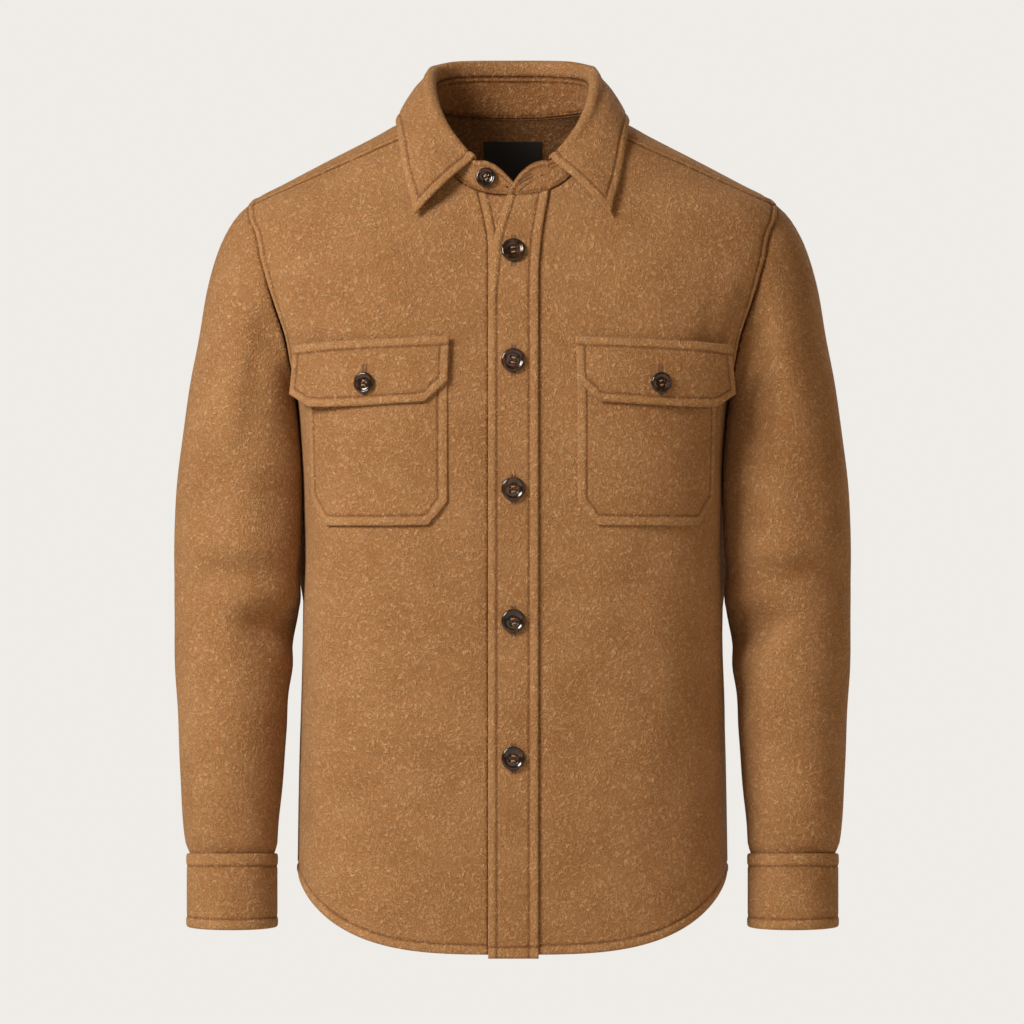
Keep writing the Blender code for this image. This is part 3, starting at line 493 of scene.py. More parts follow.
def add_node(tree, kind, settings=None, inputs=None, stops=()):
    """One node with its settings, its inputs set or linked, and a ramp's colour stops."""
    node = tree.nodes.new(kind)
    for name, value in (settings or {}).items():
        setattr(node, name, value)
    for name, value in (inputs or {}).items():
        if isinstance(value, bpy.types.NodeSocket):
            tree.links.new(value, node.inputs[name])
        else:
            node.inputs[name].default_value = value
    if stops:
        node.color_ramp.interpolation = "B_SPLINE"
        elements = node.color_ramp.elements
        while len(elements) < len(stops):
            elements.new(0.5)
        for element, (place, colour) in zip(elements, stops):
            element.position = place
            element.color = linear(colour)
    return node


def new_material(name, roughness, settings=None):
    material = bpy.data.materials.new(name)
    material.use_nodes = True
    shader = material.node_tree.nodes["Principled BSDF"]
    for socket, value in {"Roughness": roughness, "Metallic": 0.0, **(settings or {})}.items():
        shader.inputs[socket].default_value = value
    return material, material.node_tree, shader


# %% Felted wool, camel: its curly fibres
# Dry fibre: index 1.54, no clear gloss, a warm sheen from the loose ends.
CURL_CELL = 3.5          # mm, the size of one curl
CURL_LINES = 2.9         # height lines in one step of the noise, about 2.5 mm apart
CURL_LENGTH = 4.4        # mm, where a curl dives back into the felt
SWIRL_CELL = 6.0         # mm, the slower swirl that bends the curls
SWIRL_PUSH = 7.5         # mm, how far it pushes them
STRAND_EDGE = 4.0        # the higher, the thinner the strand between its gaps
MOTTLE_CELL = 38.0       # mm, where the dye and the brushing took unevenly
NAP_CELL = 0.95          # mm; single fibres are 0.02 mm, drawn coarser so that they show


def curly_fibres(tree, in_mm, shift):
    """Pale strands near 1 and the gaps between them near 0, each a few mm long."""
    moved = add_node(tree, "ShaderNodeVectorMath", {"operation": "ADD"},
                     {0: in_mm, 1: shift}).outputs[0]
    swirl = add_node(tree, "ShaderNodeTexNoise", None, {
        "Vector": moved, "Scale": 1 / SWIRL_CELL, "Detail": 1.0}).outputs["Color"]
    pushed = add_node(tree, "ShaderNodeVectorMath", {"operation": "MULTIPLY_ADD"},
                      {0: swirl, 1: (SWIRL_PUSH,) * 3, 2: moved}).outputs[0]
    slope = add_node(tree, "ShaderNodeTexNoise", None, {
        "Vector": pushed, "Scale": 1 / CURL_CELL, "Detail": 1.0}).outputs["Fac"]
    turns = add_node(tree, "ShaderNodeMath", {"operation": "MULTIPLY"},
                     {0: slope, 1: CURL_LINES * 2 * math.pi}).outputs[0]
    wave = add_node(tree, "ShaderNodeMath", {"operation": "SINE"}, {0: turns}).outputs[0]
    share = add_node(tree, "ShaderNodeMath", {"operation": "MULTIPLY_ADD"},
                     {0: wave, 1: 0.5, 2: 0.5}).outputs[0]
    strand = add_node(tree, "ShaderNodeMath", {"operation": "POWER"},
                      {0: share, 1: STRAND_EDGE}).outputs[0]
    patches = add_node(tree, "ShaderNodeTexNoise", None, {
        "Vector": moved, "Scale": 1 / CURL_LENGTH, "Detail": 1.0}).outputs["Fac"]
    lies_on_top = add_node(tree, "ShaderNodeMapRange", {"clamp": True}, {
        "Value": patches, "From Min": 0.36, "From Max": 0.62}).outputs[0]
    return add_node(tree, "ShaderNodeMath", {"operation": "MULTIPLY"},
                    {0: strand, 1: lies_on_top}).outputs[0]


# %% Felted wool, camel: two layers of curls, the nap between them and the dye
WOOL_RELIEF = 1.05       # mm from the felt's deepest place to the top of a strand
WOOL_COLOURS = ((0.0, "4A260B"), (0.2, "7B4C22"), (0.5, "A87A4B"), (1.0, "DDB487"))


def felted_wool():
    material, tree, shader = new_material("felted_wool_camel", 0.92, {
        "IOR": 1.54, "Specular IOR Level": 0.25, "Sheen Weight": 0.20,
        "Sheen Roughness": 0.5, "Sheen Tint": linear("E9C9A0")})
    spot = add_node(tree, "ShaderNodeTexCoord").outputs["Object"]
    in_mm = add_node(tree, "ShaderNodeVectorMath", {"operation": "SCALE"},
                     {0: spot, "Scale": 1000.0}).outputs[0]
    upper = curly_fibres(tree, in_mm, (0.0, 0.0, 0.0))
    lower = curly_fibres(tree, in_mm, (41.0, 17.0, 63.0))
    faint = add_node(tree, "ShaderNodeMath", {"operation": "MULTIPLY"},
                     {0: lower, 1: 0.8}).outputs[0]
    fibres = add_node(tree, "ShaderNodeMath", {"operation": "MAXIMUM"},
                      {0: upper, 1: faint}).outputs[0]
    nap = add_node(tree, "ShaderNodeTexNoise", None, {
        "Vector": in_mm, "Scale": 1 / NAP_CELL, "Detail": 2.0,
        "Roughness": 0.65}).outputs["Fac"]
    mottle = add_node(tree, "ShaderNodeTexNoise", None, {
        "Vector": in_mm, "Scale": 1 / MOTTLE_CELL, "Detail": 2.0}).outputs["Fac"]
    # Painted shade in seams, grooves and inside faces, and painted highlight on edge swells, read
    # per point.
    seam = add_node(tree, "ShaderNodeAttribute", {"attribute_name": "painted_shade_and_highlight"}).outputs["Fac"]
    tone = seam
    for layer, strength in ((mottle, 0.17), (nap, 0.54), (fibres, 0.32)):
        tone = add_node(tree, "ShaderNodeMath", {"operation": "MULTIPLY_ADD"},
                        {0: layer, 1: strength, 2: tone}).outputs[0]
    share = add_node(tree, "ShaderNodeMapRange", {"clamp": True}, {
        "Value": tone, "From Min": 0.01, "From Max": 0.90}).outputs[0]
    colour = add_node(tree, "ShaderNodeValToRGB", None, {"Fac": share}, WOOL_COLOURS)
    height = add_node(tree, "ShaderNodeMath", {"operation": "MULTIPLY_ADD"},
                      {0: nap, 1: 0.8, 2: fibres}).outputs[0]
    bump = add_node(tree, "ShaderNodeBump", None, {
        "Strength": 0.9, "Distance": WOOL_RELIEF * MM, "Height": height})
    tree.links.new(colour.outputs["Color"], shader.inputs["Base Color"])
    tree.links.new(bump.outputs["Normal"], shader.inputs["Normal"])
    return material


WOOL = felted_wool()
print("wool:", len(WOOL.node_tree.nodes), "nodes")


# %% Strong sewing thread, polyester, dyed to the cloth
FUZZ_CELL = 0.5          # mm, one turn of the twisted plies


def twisted_thread(name, dark, pale):
    """Two plies twisted together: pale and dark turns along the thread."""
    material, tree, shader = new_material(name, 0.6, {"IOR": 1.57, "Sheen Weight": 0.2})
    spot = add_node(tree, "ShaderNodeTexCoord").outputs["Object"]
    fuzz = add_node(tree, "ShaderNodeTexNoise", None, {
        "Vector": spot, "Scale": 1000 / FUZZ_CELL, "Detail": 2.0}).outputs["Fac"]
    colour = add_node(tree, "ShaderNodeValToRGB", None, {"Fac": fuzz},
                      ((0.3, dark), (0.7, pale)))
    bump = add_node(tree, "ShaderNodeBump", None, {
        "Strength": 0.5, "Distance": 0.1 * MM, "Height": fuzz})
    tree.links.new(colour.outputs["Color"], shader.inputs["Base Color"])
    tree.links.new(bump.outputs["Normal"], shader.inputs["Normal"])
    return material


THREAD = twisted_thread("sewing_thread_camel", "5E3817", "9C6E40")
BUTTON_THREAD = twisted_thread("button_thread_tan", "8A5A30", "D09A62")
print("threads:", THREAD.name, BUTTON_THREAD.name)


# %% Horn, turned and polished: brown-black with a few amber streaks
# Keratin has index 1.54, as most plastics do; the polish leaves a roughness near 0.15.
STREAK_CELL = 7.0        # mm across a streak; it is 2.6 times as long, up the garment
STREAK_STRETCH = 0.38


def polished_horn():
    material, tree, shader = new_material("polished_dark_horn", 0.16, {
        "IOR": 1.54, "Coat Weight": 0.5, "Coat Roughness": 0.06})
    spot = add_node(tree, "ShaderNodeTexCoord").outputs["Object"]
    in_mm = add_node(tree, "ShaderNodeVectorMath", {"operation": "MULTIPLY"},
                     {0: spot, 1: (1000.0, 1000.0, 1000.0 * STREAK_STRETCH)}).outputs[0]
    streak = add_node(tree, "ShaderNodeTexNoise", None, {
        "Vector": in_mm, "Scale": 1 / STREAK_CELL, "Detail": 3.0, "Roughness": 0.6,
        "Distortion": 1.2}).outputs["Fac"]
    colour = add_node(tree, "ShaderNodeValToRGB", None, {"Fac": streak},
                      ((0.44, "150B07"), (0.60, "2E170B"), (0.74, "7A4622")))
    tree.links.new(colour.outputs["Color"], shader.inputs["Base Color"])
    return material


HORN = polished_horn()
print("horn:", len(HORN.node_tree.nodes), "nodes")


# %% The neck label: damask-woven black ribbon, left bare
RIB = 1.8                # mm; its real ribs are 0.3 mm, drawn coarser so that they show
WAVE_TURNS = 20          # Blender's band pattern turns by this angle for one unit of scale


def woven_ribbon():
    material, tree, shader = new_material("woven_ribbon_black", 0.55, {
        "IOR": 1.53, "Sheen Weight": 0.25})
    spot = add_node(tree, "ShaderNodeTexCoord").outputs["Object"]
    threads = add_node(tree, "ShaderNodeTexWave", {"bands_direction": "Z"}, {
        "Vector": spot, "Scale": 2 * math.pi / WAVE_TURNS * 1000 / RIB,
        "Distortion": 0.4}).outputs["Fac"]
    colour = add_node(tree, "ShaderNodeValToRGB", None, {"Fac": threads},
                      ((0.0, "0E0B09"), (1.0, "1B1613")))
    bump = add_node(tree, "ShaderNodeBump", None, {
        "Strength": 0.4, "Distance": 0.1 * MM, "Height": threads})
    tree.links.new(colour.outputs["Color"], shader.inputs["Base Color"])
    tree.links.new(bump.outputs["Normal"], shader.inputs["Normal"])
    return material


RIBBON = woven_ribbon()
print("ribbon:", len(RIBBON.node_tree.nodes), "nodes")

# %% [markdown]
# ## Cutting and sewing a piece
#
# Every piece of cloth is a wall between two faces, like the real thing. Where its edge is
# folded, the two faces round off into each other. Where it is sewn to its neighbour, the
# outer face dips into the seam. Where it is stitched from outside, the thread sinks into
# the thick cloth and the cloth swells between the thread and the edge. All of that is
# worked out from the distance to the piece's own borders, so it stays even round corners.

# %% Writing a mesh
INSIDE_PAINTED_SHADE = 0.13       # painted shade on the inside face of the cloth


def write_mesh(name, points, faces, material, replaces=(), painted_shade_and_highlight=None):
    mesh = bpy.data.meshes.new(name)
    mesh.from_pydata((np.asarray(points) * MM).tolist(), [], faces)
    mesh.materials.append(material)
    mesh.shade_smooth()
    # The painted shade and highlight go to the wool's colour as a point attribute.
    if painted_shade_and_highlight is not None:
        mesh.attributes.new("painted_shade_and_highlight", "FLOAT", "POINT").data.foreach_set("value", painted_shade_and_highlight)
    item = add_item(name, mesh)
    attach(item, "root")
    if replaces:
        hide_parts(*replaces)
    return item


def closed_wall(name, outer, inner, ring, material=WOOL, tone=None):
    """A solid between two grids of points; a ring's columns run all round."""
    rows, columns = outer.shape[:2]
    count = rows * columns
    points = np.concatenate([outer.reshape(-1, 3), inner.reshape(-1, 3)])
    spans = columns if ring else columns - 1
    row, place = np.meshgrid(np.arange(rows - 1), np.arange(spans), indexing="ij")
    row, place = row.ravel(), place.ravel()
    beside = (place + 1) % columns
    face = np.stack([row * columns + place, row * columns + beside,
                     (row + 1) * columns + beside, (row + 1) * columns + place], axis=1)
    faces = [face, face[:, ::-1] + count]
    place = np.arange(spans)
    beside = (place + 1) % columns
    for first, turned in ((0, False), ((rows - 1) * columns, True)):
        rim = np.stack([first + place, first + place + count, first + beside + count,
                        first + beside], axis=1)
        faces.append(rim[:, ::-1] if turned else rim)
    if not ring:
        row = np.arange(rows - 1) * columns
        for first, turned in ((0, True), (columns - 1, False)):
            rim = np.stack([row + first, row + first + count, row + columns + first + count,
                            row + columns + first], axis=1)
            faces.append(rim[:, ::-1] if turned else rim)
    faces = np.concatenate(faces)
    # The inside face takes extra painted shade.
    tones = np.zeros(len(points)) if tone is None else \
        np.concatenate([tone.ravel(), tone.ravel() - INSIDE_PAINTED_SHADE])
    item = write_mesh(name + "_cloth", points, faces.tolist(), material, (name,), tones)
    shape = bmesh.new()
    shape.from_mesh(item.data)
    if shape.calc_volume(signed=True) < 0:
        bmesh.ops.reverse_faces(shape, faces=shape.faces)
        shape.to_mesh(item.data)
    shape.free()
    return item


# %% A piece of cloth, laid out from its borders
Stitch = namedtuple("Stitch", "sides offset depth clear", defaults=(0.0,))
SHARES = np.linspace(0, 1, 161)
NEAR_FREE = (0.0, 0.12, 0.4, 0.8, 1.3, 2.2, 3.8)
NEAR_SEWN = (0.0, 0.6, 1.3, 2.4, 4.0)
NEAR_THREAD = (-3.0, -1.7, -0.95, -0.5, 0.0, 0.5, 0.95, 1.7, 3.0, 5.0)
EDGE_SWELL = 0.55        # mm that the cloth swells between the thread and the edge
SEAM_DEPTH = 0.8
SEAM_REACH = 1.4         # mm over which the cloth rolls into a seam
THREAD_REACH = 1.1       # and under the thread
THREAD_LIFT = 0.20       # mm that the thread's middle lies over the sunk cloth
SEAM_PAINTED_SHADE = 0.26         # painted shade in the sunk seam
# Painted shade in the thread's groove.
THREAD_PAINTED_SHADE = 0.15
EDGE_PAINTED_HIGHLIGHT = 0.06         # painted highlight on the swell between the thread and the edge
TONE_LIMITS = (-0.6, 0.3)
ROUND_SHARE = 0.96       # of a half circle, so that the two faces don't quite meet
SPEED_LIMITS = (0.4, 2.5)  # of the usual speed in from a border
NEAREST_THREAD = 1.5     # mm; no line for the thread lies nearer to the border
CLOSEST_LINES = 0.1      # mm
NEAR_HALF = 0.47         # of a piece: the lines near its two borders stay apart


class Cloth:
    """One cut piece: place(u, v, out) finds a point, and its borders say how it ends."""

    def __init__(self, name, place, thick, free=(), sewn=(), stitches=(), step=5.0,
                 shape=None, ring=False, both=False, marks=()):
        self.name, self.place, self.thick, self.both = name, place, thick, both
        self.marks = marks
        self.free, self.sewn, self.stitches = free, sewn, stitches
        self.shape, self.ring, self.step = shape, ring, step
        self.speed = {side: self.border_speed(side) for side in
                      ("left", "right", "first", "last")}

    def border_speed(self, side):
        """How many millimetres the cloth runs in from a border for one unit of u or v."""
        near, s = 2e-3, SHARES
        spots = {"left": ((0 * s, s), (0 * s + near, s)),
                 "right": ((0 * s + 1, s), (0 * s + 1 - near, s)),
                 "first": ((s, 0 * s), (s, 0 * s + near)),
                 "last": ((s, 0 * s + 1), (s, 0 * s + 1 - near))}
        edge, inside = [self.place(u, v, 0.0) for u, v in spots[side]]
        way = np.gradient(edge, axis=0)
        way /= np.maximum(np.linalg.norm(way, axis=1, keepdims=True), 1e-9)
        move = (inside - edge) / near
        square = np.linalg.norm(move - way * np.sum(move * way, axis=1, keepdims=True), axis=1)
        usual = np.median(square)
        square = np.clip(square, SPEED_LIMITS[0] * usual, SPEED_LIMITS[1] * usual)
        padded = np.pad(square, 4, mode="edge")
        return np.convolve(padded, np.ones(9) / 9, mode="valid")

    def reach(self, side, u, v):
        """Millimetres from one border."""
        along, away = {"left": (v, u), "right": (v, 1 - u),
                       "first": (u, v), "last": (u, 1 - v)}[side]
        return away * np.interp(along, SHARES, self.speed[side])

    def nearest(self, sides, u, v):
        return np.min([self.reach(side, u, v) for side in sides], axis=0)

    def seams(self, u, v):
        """How far seams and thread sink the face, and the painted shade and highlight that go with
        them.
        """
        out = 0.0 * (u + v)
        tone = 0.0 * (u + v)
        if self.sewn:
            # Painted shade in the sunk seam.
            sunk = np.exp(-(self.nearest(self.sewn, u, v) / SEAM_REACH) ** 2)
            out, tone = out - SEAM_DEPTH * sunk, tone - SEAM_PAINTED_SHADE * sunk
        for stitch in self.stitches:
            away = self.nearest(stitch.sides, u, v)
            sunk = np.exp(-((away - stitch.offset) / THREAD_REACH) ** 2)
            swell = np.where(away < stitch.offset,
                             np.sin(math.pi * np.clip(away / stitch.offset, 0, 1)), 0.0)
            if stitch.clear:
                below = np.clip(self.reach("first", u, v) - stitch.clear, 0, 1)
                sunk, swell = sunk * below, swell * below
            # Painted shade along the thread, painted highlight on the swell by the edge.
            out = out - stitch.depth * sunk + EDGE_SWELL * swell
            tone = tone - THREAD_PAINTED_SHADE * sunk + EDGE_PAINTED_HIGHLIGHT * swell
        return out, np.clip(tone, *TONE_LIMITS)

    def relief(self, u, v):
        return self.seams(u, v)[0] + (self.shape(u, v) if self.shape else 0.0)

    def rounding(self, u, v):
        if not self.free:
            return 0 * (u + v)
        radius = self.thick / 2
        inside = np.clip(1 - self.nearest(self.free, u, v) / radius, 0, 1)
        return radius * (1 - np.sqrt(1 - inside**2)) * ROUND_SHARE

    def near_lines(self, side):
        lines = [0.0]
        if side in self.free:
            lines += NEAR_FREE
        if side in self.sewn:
            lines += NEAR_SEWN
        for stitch in self.stitches:
            if side in stitch.sides:
                lines += [stitch.offset + extra for extra in NEAR_THREAD
                          if stitch.offset + extra > NEAREST_THREAD]
        kept = []
        for line in sorted(lines):
            if not kept or line - kept[-1] > CLOSEST_LINES:
                kept.append(line)
        return np.array(kept)

    def spaced(self, low_side, high_side, length):
        """Lines near both borders in mm, and how many even ones lie between."""
        low, high = [lines[lines < NEAR_HALF * length] for lines in
                     (self.near_lines(low_side), self.near_lines(high_side))]
        count = max(3, int(round((length - low[-1] - high[-1]) / self.step)))
        return low, high, count

    def lines(self, low_side, high_side, length, along):
        """For each place along, the shares of all the lines."""
        low, high, count = self.spaced(low_side, high_side, length)
        start = low / np.interp(along, SHARES, self.speed[low_side])[:, None]
        end = 1 - high[::-1] / np.interp(along, SHARES, self.speed[high_side])[:, None]
        share = np.linspace(0, 1, count + 1)[1:-1]
        middle = start[:, -1:] + (end[:, :1] - start[:, -1:]) * share
        if low_side == "left":
            for mark in self.marks:
                nearest = np.argmin(np.abs(middle.mean(axis=0) - mark))
                middle[:, nearest] = mark
        return np.concatenate([start, middle, end], axis=1)

    def length(self, u, v):
        line = self.place(u, v, 0.0)
        return float(np.sum(np.linalg.norm(np.diff(line, axis=0), axis=1)))

    def layout(self):
        s = SHARES
        tall = self.length(0 * s + 0.5, s)
        wide = self.length(s, 0 * s + 0.5)
        rows = self.lines("first", "last", tall, np.array([0.5]))[0]
        if self.ring:
            columns = np.arange(int(round(wide / self.step))) / int(round(wide / self.step))
            u = np.broadcast_to(columns, (len(rows), len(columns)))
        else:
            columns = self.lines("left", "right", wide, np.array([0.5]))[0]
            u = self.lines("left", "right", wide, rows)
        v = self.lines("first", "last", tall, columns).T
        return u, v

    def lay(self, flat, area):
        u, v = self.layout()
        round_off = self.rounding(u, v)
        follow = self.shape(u, v) if self.shape else 0.0
        sunk, tone = self.seams(u, v)
        outer = self.place(u, v, follow + sunk - round_off)
        inner = self.place(u, v, follow + round_off - self.thick - (sunk if self.both else 0))
        item = closed_wall(self.name, outer, inner, self.ring, tone=tone)
        measured = sum(face.area for face in item.data.polygons) / 2
        print(f"{self.name}: {len(item.data.polygons) * 2} triangles,",
              f"{measured:.4f} m2 of cloth, cut {area:.4f} m2")
        return item


# %% Thread: each stitch is a short spindle that sinks in at both ends
THREADS = {}
SPINDLE = (
    # share of the half stitch, and in mm its radius there and its height: the ends dip
    (-1.0, 0.10, -0.42), (-0.62, 0.33, -0.06), (0.0, 0.40, 0.0), (0.62, 0.33, -0.06),
    (1.0, 0.10, -0.42),
)


def add_stitches(group, starts, ends, normals, thickness):
    THREADS.setdefault(group, []).append((starts, ends, normals, thickness))


def cut_line(points, normals, group):
    """Stitches of one pitch along a line of points."""
    along = run_along(points)
    count = int(along[-1] // STITCH_PITCH)
    if count < 1:
        return
    begin = (along[-1] - count * STITCH_PITCH) / 2 + STITCH_PITCH * np.arange(count)
    add_stitches(group, spots_at(begin + STITCH_SPACE / 2, along, points),
                 spots_at(begin + STITCH_PITCH - STITCH_SPACE / 2, along, points),
                 spots_at(begin + STITCH_PITCH / 2, along, normals), 1.0)


def sew(cloth, stitch, side, group, start=0.0):
    """Thread along one side of a piece, as far as this side is the nearest one."""
    s = np.linspace(start, 1.0, 1200)
    away = stitch.offset / np.interp(s, SHARES, cloth.speed[side])
    u, v = {"left": (away, s), "right": (1 - away, s),
            "first": (s, away), "last": (s, 1 - away)}[side]
    kept = (cloth.nearest(stitch.sides, u, v) > stitch.offset - 0.05) \
        & (cloth.reach("first", u, v) >= stitch.clear)
    u, v = u[kept], v[kept]
    level = cloth.relief(u, v) + THREAD_LIFT
    points = cloth.place(u, v, level)
    cut_line(points, cloth.place(u, v, level + 1.0) - points, group)


def write_threads(groups, material):
    """All the stitches of each group as one mesh."""
    total = 0
    for group in groups:
        points, faces = [], []
        for starts, ends, normals, thickness in THREADS[group]:
            middle, half = (starts + ends) / 2, (ends - starts) / 2
            side = across(half, normals)
            up = across(side, half)
            rings = []
            for along, radius, sink in SPINDLE:
                centre = middle + half * along + up * sink * thickness
                wide = radius * thickness
                rings.append(np.stack([centre + side * wide, centre + up * wide,
                                       centre - side * wide, centre - up * wide], axis=1))
            block = np.stack(rings, axis=1)
            first = sum(len(p) for p in points)
            points.append(block.reshape(-1, 3))
            base = first + np.arange(len(starts))[:, None, None, None] * 20
            ring = np.arange(4)[None, :, None, None] * 4
            corner = np.arange(4)[None, None, :, None]
            beside = (corner + 1) % 4
            quad = np.concatenate([base + ring + corner, base + ring + beside,
                                   base + ring + 4 + beside, base + ring + 4 + corner], axis=3)
            faces.append(quad.reshape(-1, 4))
            total += len(starts)
        item = write_mesh("stitching_" + group, np.concatenate(points),
                          np.concatenate(faces).tolist(), material)
        print(item.name, len(item.data.polygons) * 2, "triangles")
    return total

# %% [markdown]
# ## The body: two fronts, the back and the yoke
#
# The side seam, the armhole and the yoke's forward seam are shared by two pieces each,
# so each is worked out once. Thick wool that hangs filled out is never quite smooth, so
# a few slow waves, each under 1 mm high, run through the fronts and the back, and soft
# creases up to 3 mm deep are listed one by one.

# %% Slow waves in the hanging cloth
WAVES = (
    # across, front to back, up (turns in a metre), height in mm, start
    (5.2, 1.1, 1.3, 0.55, 0.3), (2.1, 2.4, 3.4, 0.45, 1.9), (9.3, 3.0, 2.2, 0.35, 4.1),
    (4.0, 6.1, 7.3, 0.25, 2.2), (14.0, 5.0, 4.1, 0.20, 5.0), (7.7, 4.4, 12.5, 0.16, 0.9),
)


def slow_waves(points, size=1.0):
    total = 0.0
    for turns_x, turns_y, turns_z, height, start in WAVES:
        phase = (points @ np.array([turns_x, turns_y, turns_z])) * MM * 2 * math.pi + start
        total = total + height * size * np.sin(phase)
    return total


# %% Soft creases in the hanging body, listed one by one, uneven and all inwards
Crease = namedtuple("Crease", "x z depth half_width half_height lean")
FRONT_CREASES = (
    Crease(112.0, -400.0, -1.7, 15.0, 75.0, 0.35),
    Crease(-100.0, -425.0, -1.6, 17.0, 85.0, -0.32),
    Crease(148.0, -560.0, -1.6, 16.0, 80.0, 0.15),
    Crease(-140.0, -590.0, -1.8, 18.0, 70.0, -0.10),
    Crease(176.0, -165.0, -2.0, 10.0, 42.0, 0.10),
    Crease(-172.0, -172.0, -1.8, 11.0, 46.0, -0.12),
)
BACK_CREASES = (
    Crease(128.0, -250.0, -2.8, 13.0, 95.0, -0.30),
    Crease(-121.0, -262.0, -2.5, 14.0, 88.0, 0.34),
    Crease(70.0, -455.0, -2.2, 18.0, 120.0, -0.10),
    Crease(-58.0, -430.0, -2.4, 16.0, 135.0, 0.12),
    Crease(8.0, -330.0, -1.4, 22.0, 110.0, 0.03),
    Crease(-134.0, -545.0, -1.8, 17.0, 90.0, 0.08),
    Crease(122.0, -580.0, -1.9, 15.0, 75.0, -0.06),
)


def creases(table, spot):
    total = 0.0
    for fold in table:
        down = spot[..., 2] - fold.z
        beside = spot[..., 0] - fold.x - fold.lean * down
        total = total + fold.depth * np.exp(-(beside / fold.half_width) ** 2
                                            - (down / fold.half_height) ** 2)
    return total


# %% The borders that the body's pieces share
SIDE_Z = np.linspace(SIDE_HEM_Z, UNDERARM_Z, 60)
NECK_TO_YOKE = float(neck_share(YOKE_NECK_X))


def side_and_armhole(first_turn, last_turn):
    arm_quarter, arm_z = armhole(np.linspace(first_turn, last_turn, 181))
    return border(np.concatenate([np.ones(59), arm_quarter]),
                  np.concatenate([SIDE_Z[:-1], arm_z]))


def yoke_front_seam():
    neck_quarter, neck_z = neck_at(NECK_TO_YOKE)
    arm = body_skin(*armhole(np.array(YOKE_FRONT_TURN)))
    x = np.linspace(YOKE_NECK_X, arm[0], 121)
    z = neck_z + (arm[2] - neck_z) * (x - x[0]) / (x[-1] - x[0])
    quarter = front_quarter(x, z)
    quarter[0] = neck_quarter
    return border(quarter, z)


def left_seam(z):
    return smooth(z, column(PLACKET, "z"), column(PLACKET, "seam_x"))


def right_seam(z):
    return smooth(z, column(PLACKET, "z"), column(PLACKET, "under_x"))


def strip_edge(z):
    return smooth(z, column(PLACKET, "z"), column(PLACKET, "edge_x"))


def other_side(line):
    """The same border on the wearer's right, for a piece that spans the back."""
    return line * (-1, 1) + (2, 0)


# %% The fronts
HEM_STITCH = Stitch(("first",), 8.4, 0.75)
ARMHOLE_STITCH = Stitch(("right",), 6.2, 0.75)
TUCK = 1.6               # how far the left front runs in under the top placket
FRONT_ARMHOLE_FROM = 0.655  # share of the front's side border below the armhole's stitches
BACK_ARMHOLE_FROM = 0.67
FADE_SHARE = 0.07        # of a piece, where its waves fade out towards a border


def front(name, seam_x, tuck, mirror):
    right = side_and_armhole(180.0, YOKE_FRONT_TURN)
    neck_start = float(neck_share(float(seam_x(np.array(FRONT_TOP_Z))) - tuck))
    neck_quarter, neck_z = neck_at(np.linspace(neck_start, NECK_TO_YOKE, 80))
    bottom_z = float(hem_z(front_quarter(np.array(PLACKET_SEAM_X), np.array(SIDE_HEM_Z))))
    z = np.linspace(bottom_z, float(neck_z[0]), 240)[:-1]
    left = border(np.concatenate([front_quarter(seam_x(z) - tuck, z), neck_quarter]),
                  np.concatenate([z, neck_z]))
    quarter = np.linspace(0, 1, 400) ** 1.5
    quarter = left_quarter(left) + (1 - left_quarter(left)) * quarter
    first = border(quarter, hem_z(quarter))
    place = panel_place(first, yoke_front_seam(), left, right, mirror=mirror)

    def shape(u, v):
        spot = place(u, v, 0.0)
        return (slow_waves(spot) + creases(FRONT_CREASES, spot)) * edge_fade(u, v)

    return Cloth(name, place, CLOTH, free=("first",), sewn=("last", "left", "right"),
                 stitches=(HEM_STITCH, ARMHOLE_STITCH), shape=shape)


def left_quarter(line):
    return float(quarter_of(np.array(line[0, 0]), np.array(line[0, 1])))


def edge_fade(u, v):
    """No waves at the borders, where two pieces have to meet."""
    inside = np.minimum(np.minimum(u, 1 - u), np.minimum(v, 1 - v))
    return ease(np.clip(inside / FADE_SHARE, 0, 1))


for wearer_side, seam, tuck in (("left", left_seam, TUCK), ("right", right_seam, 0.0)):
    piece = front("front_" + wearer_side, seam, tuck, wearer_side == "right")
    piece.lay(flat=(0.275, 0.80), area=0.166)
    sew(piece, HEM_STITCH, "first", "body")
    sew(piece, ARMHOLE_STITCH, "right", "body", start=FRONT_ARMHOLE_FROM)

# %% The back
BACK_HEM = Stitch(("first",), 8.4, 0.75)
BACK_ARMHOLES = Stitch(("left", "right"), 6.2, 0.75)
SIDE_FOLD_Y = 31.0
SIDE_FOLD_REACH = 13.0
SIDE_FOLD_Z = (-480.0, -425.0, -392.0, -340.0, -255.0, -215.0)
SIDE_FOLD_HEIGHT = (0.0, 1.5, 6.6, 4.4, 4.2, 0.0)


def side_folds(spot):
    """Under each arm the back stands out in a soft upright fold, and fills the gap there."""
    beside = np.exp(-((spot[..., 1] - SIDE_FOLD_Y) / SIDE_FOLD_REACH) ** 2)
    height = smooth(spot[..., 2], np.array(SIDE_FOLD_Z), np.array(SIDE_FOLD_HEIGHT))
    return height * (beside * (np.abs(spot[..., 0]) > 100.0))


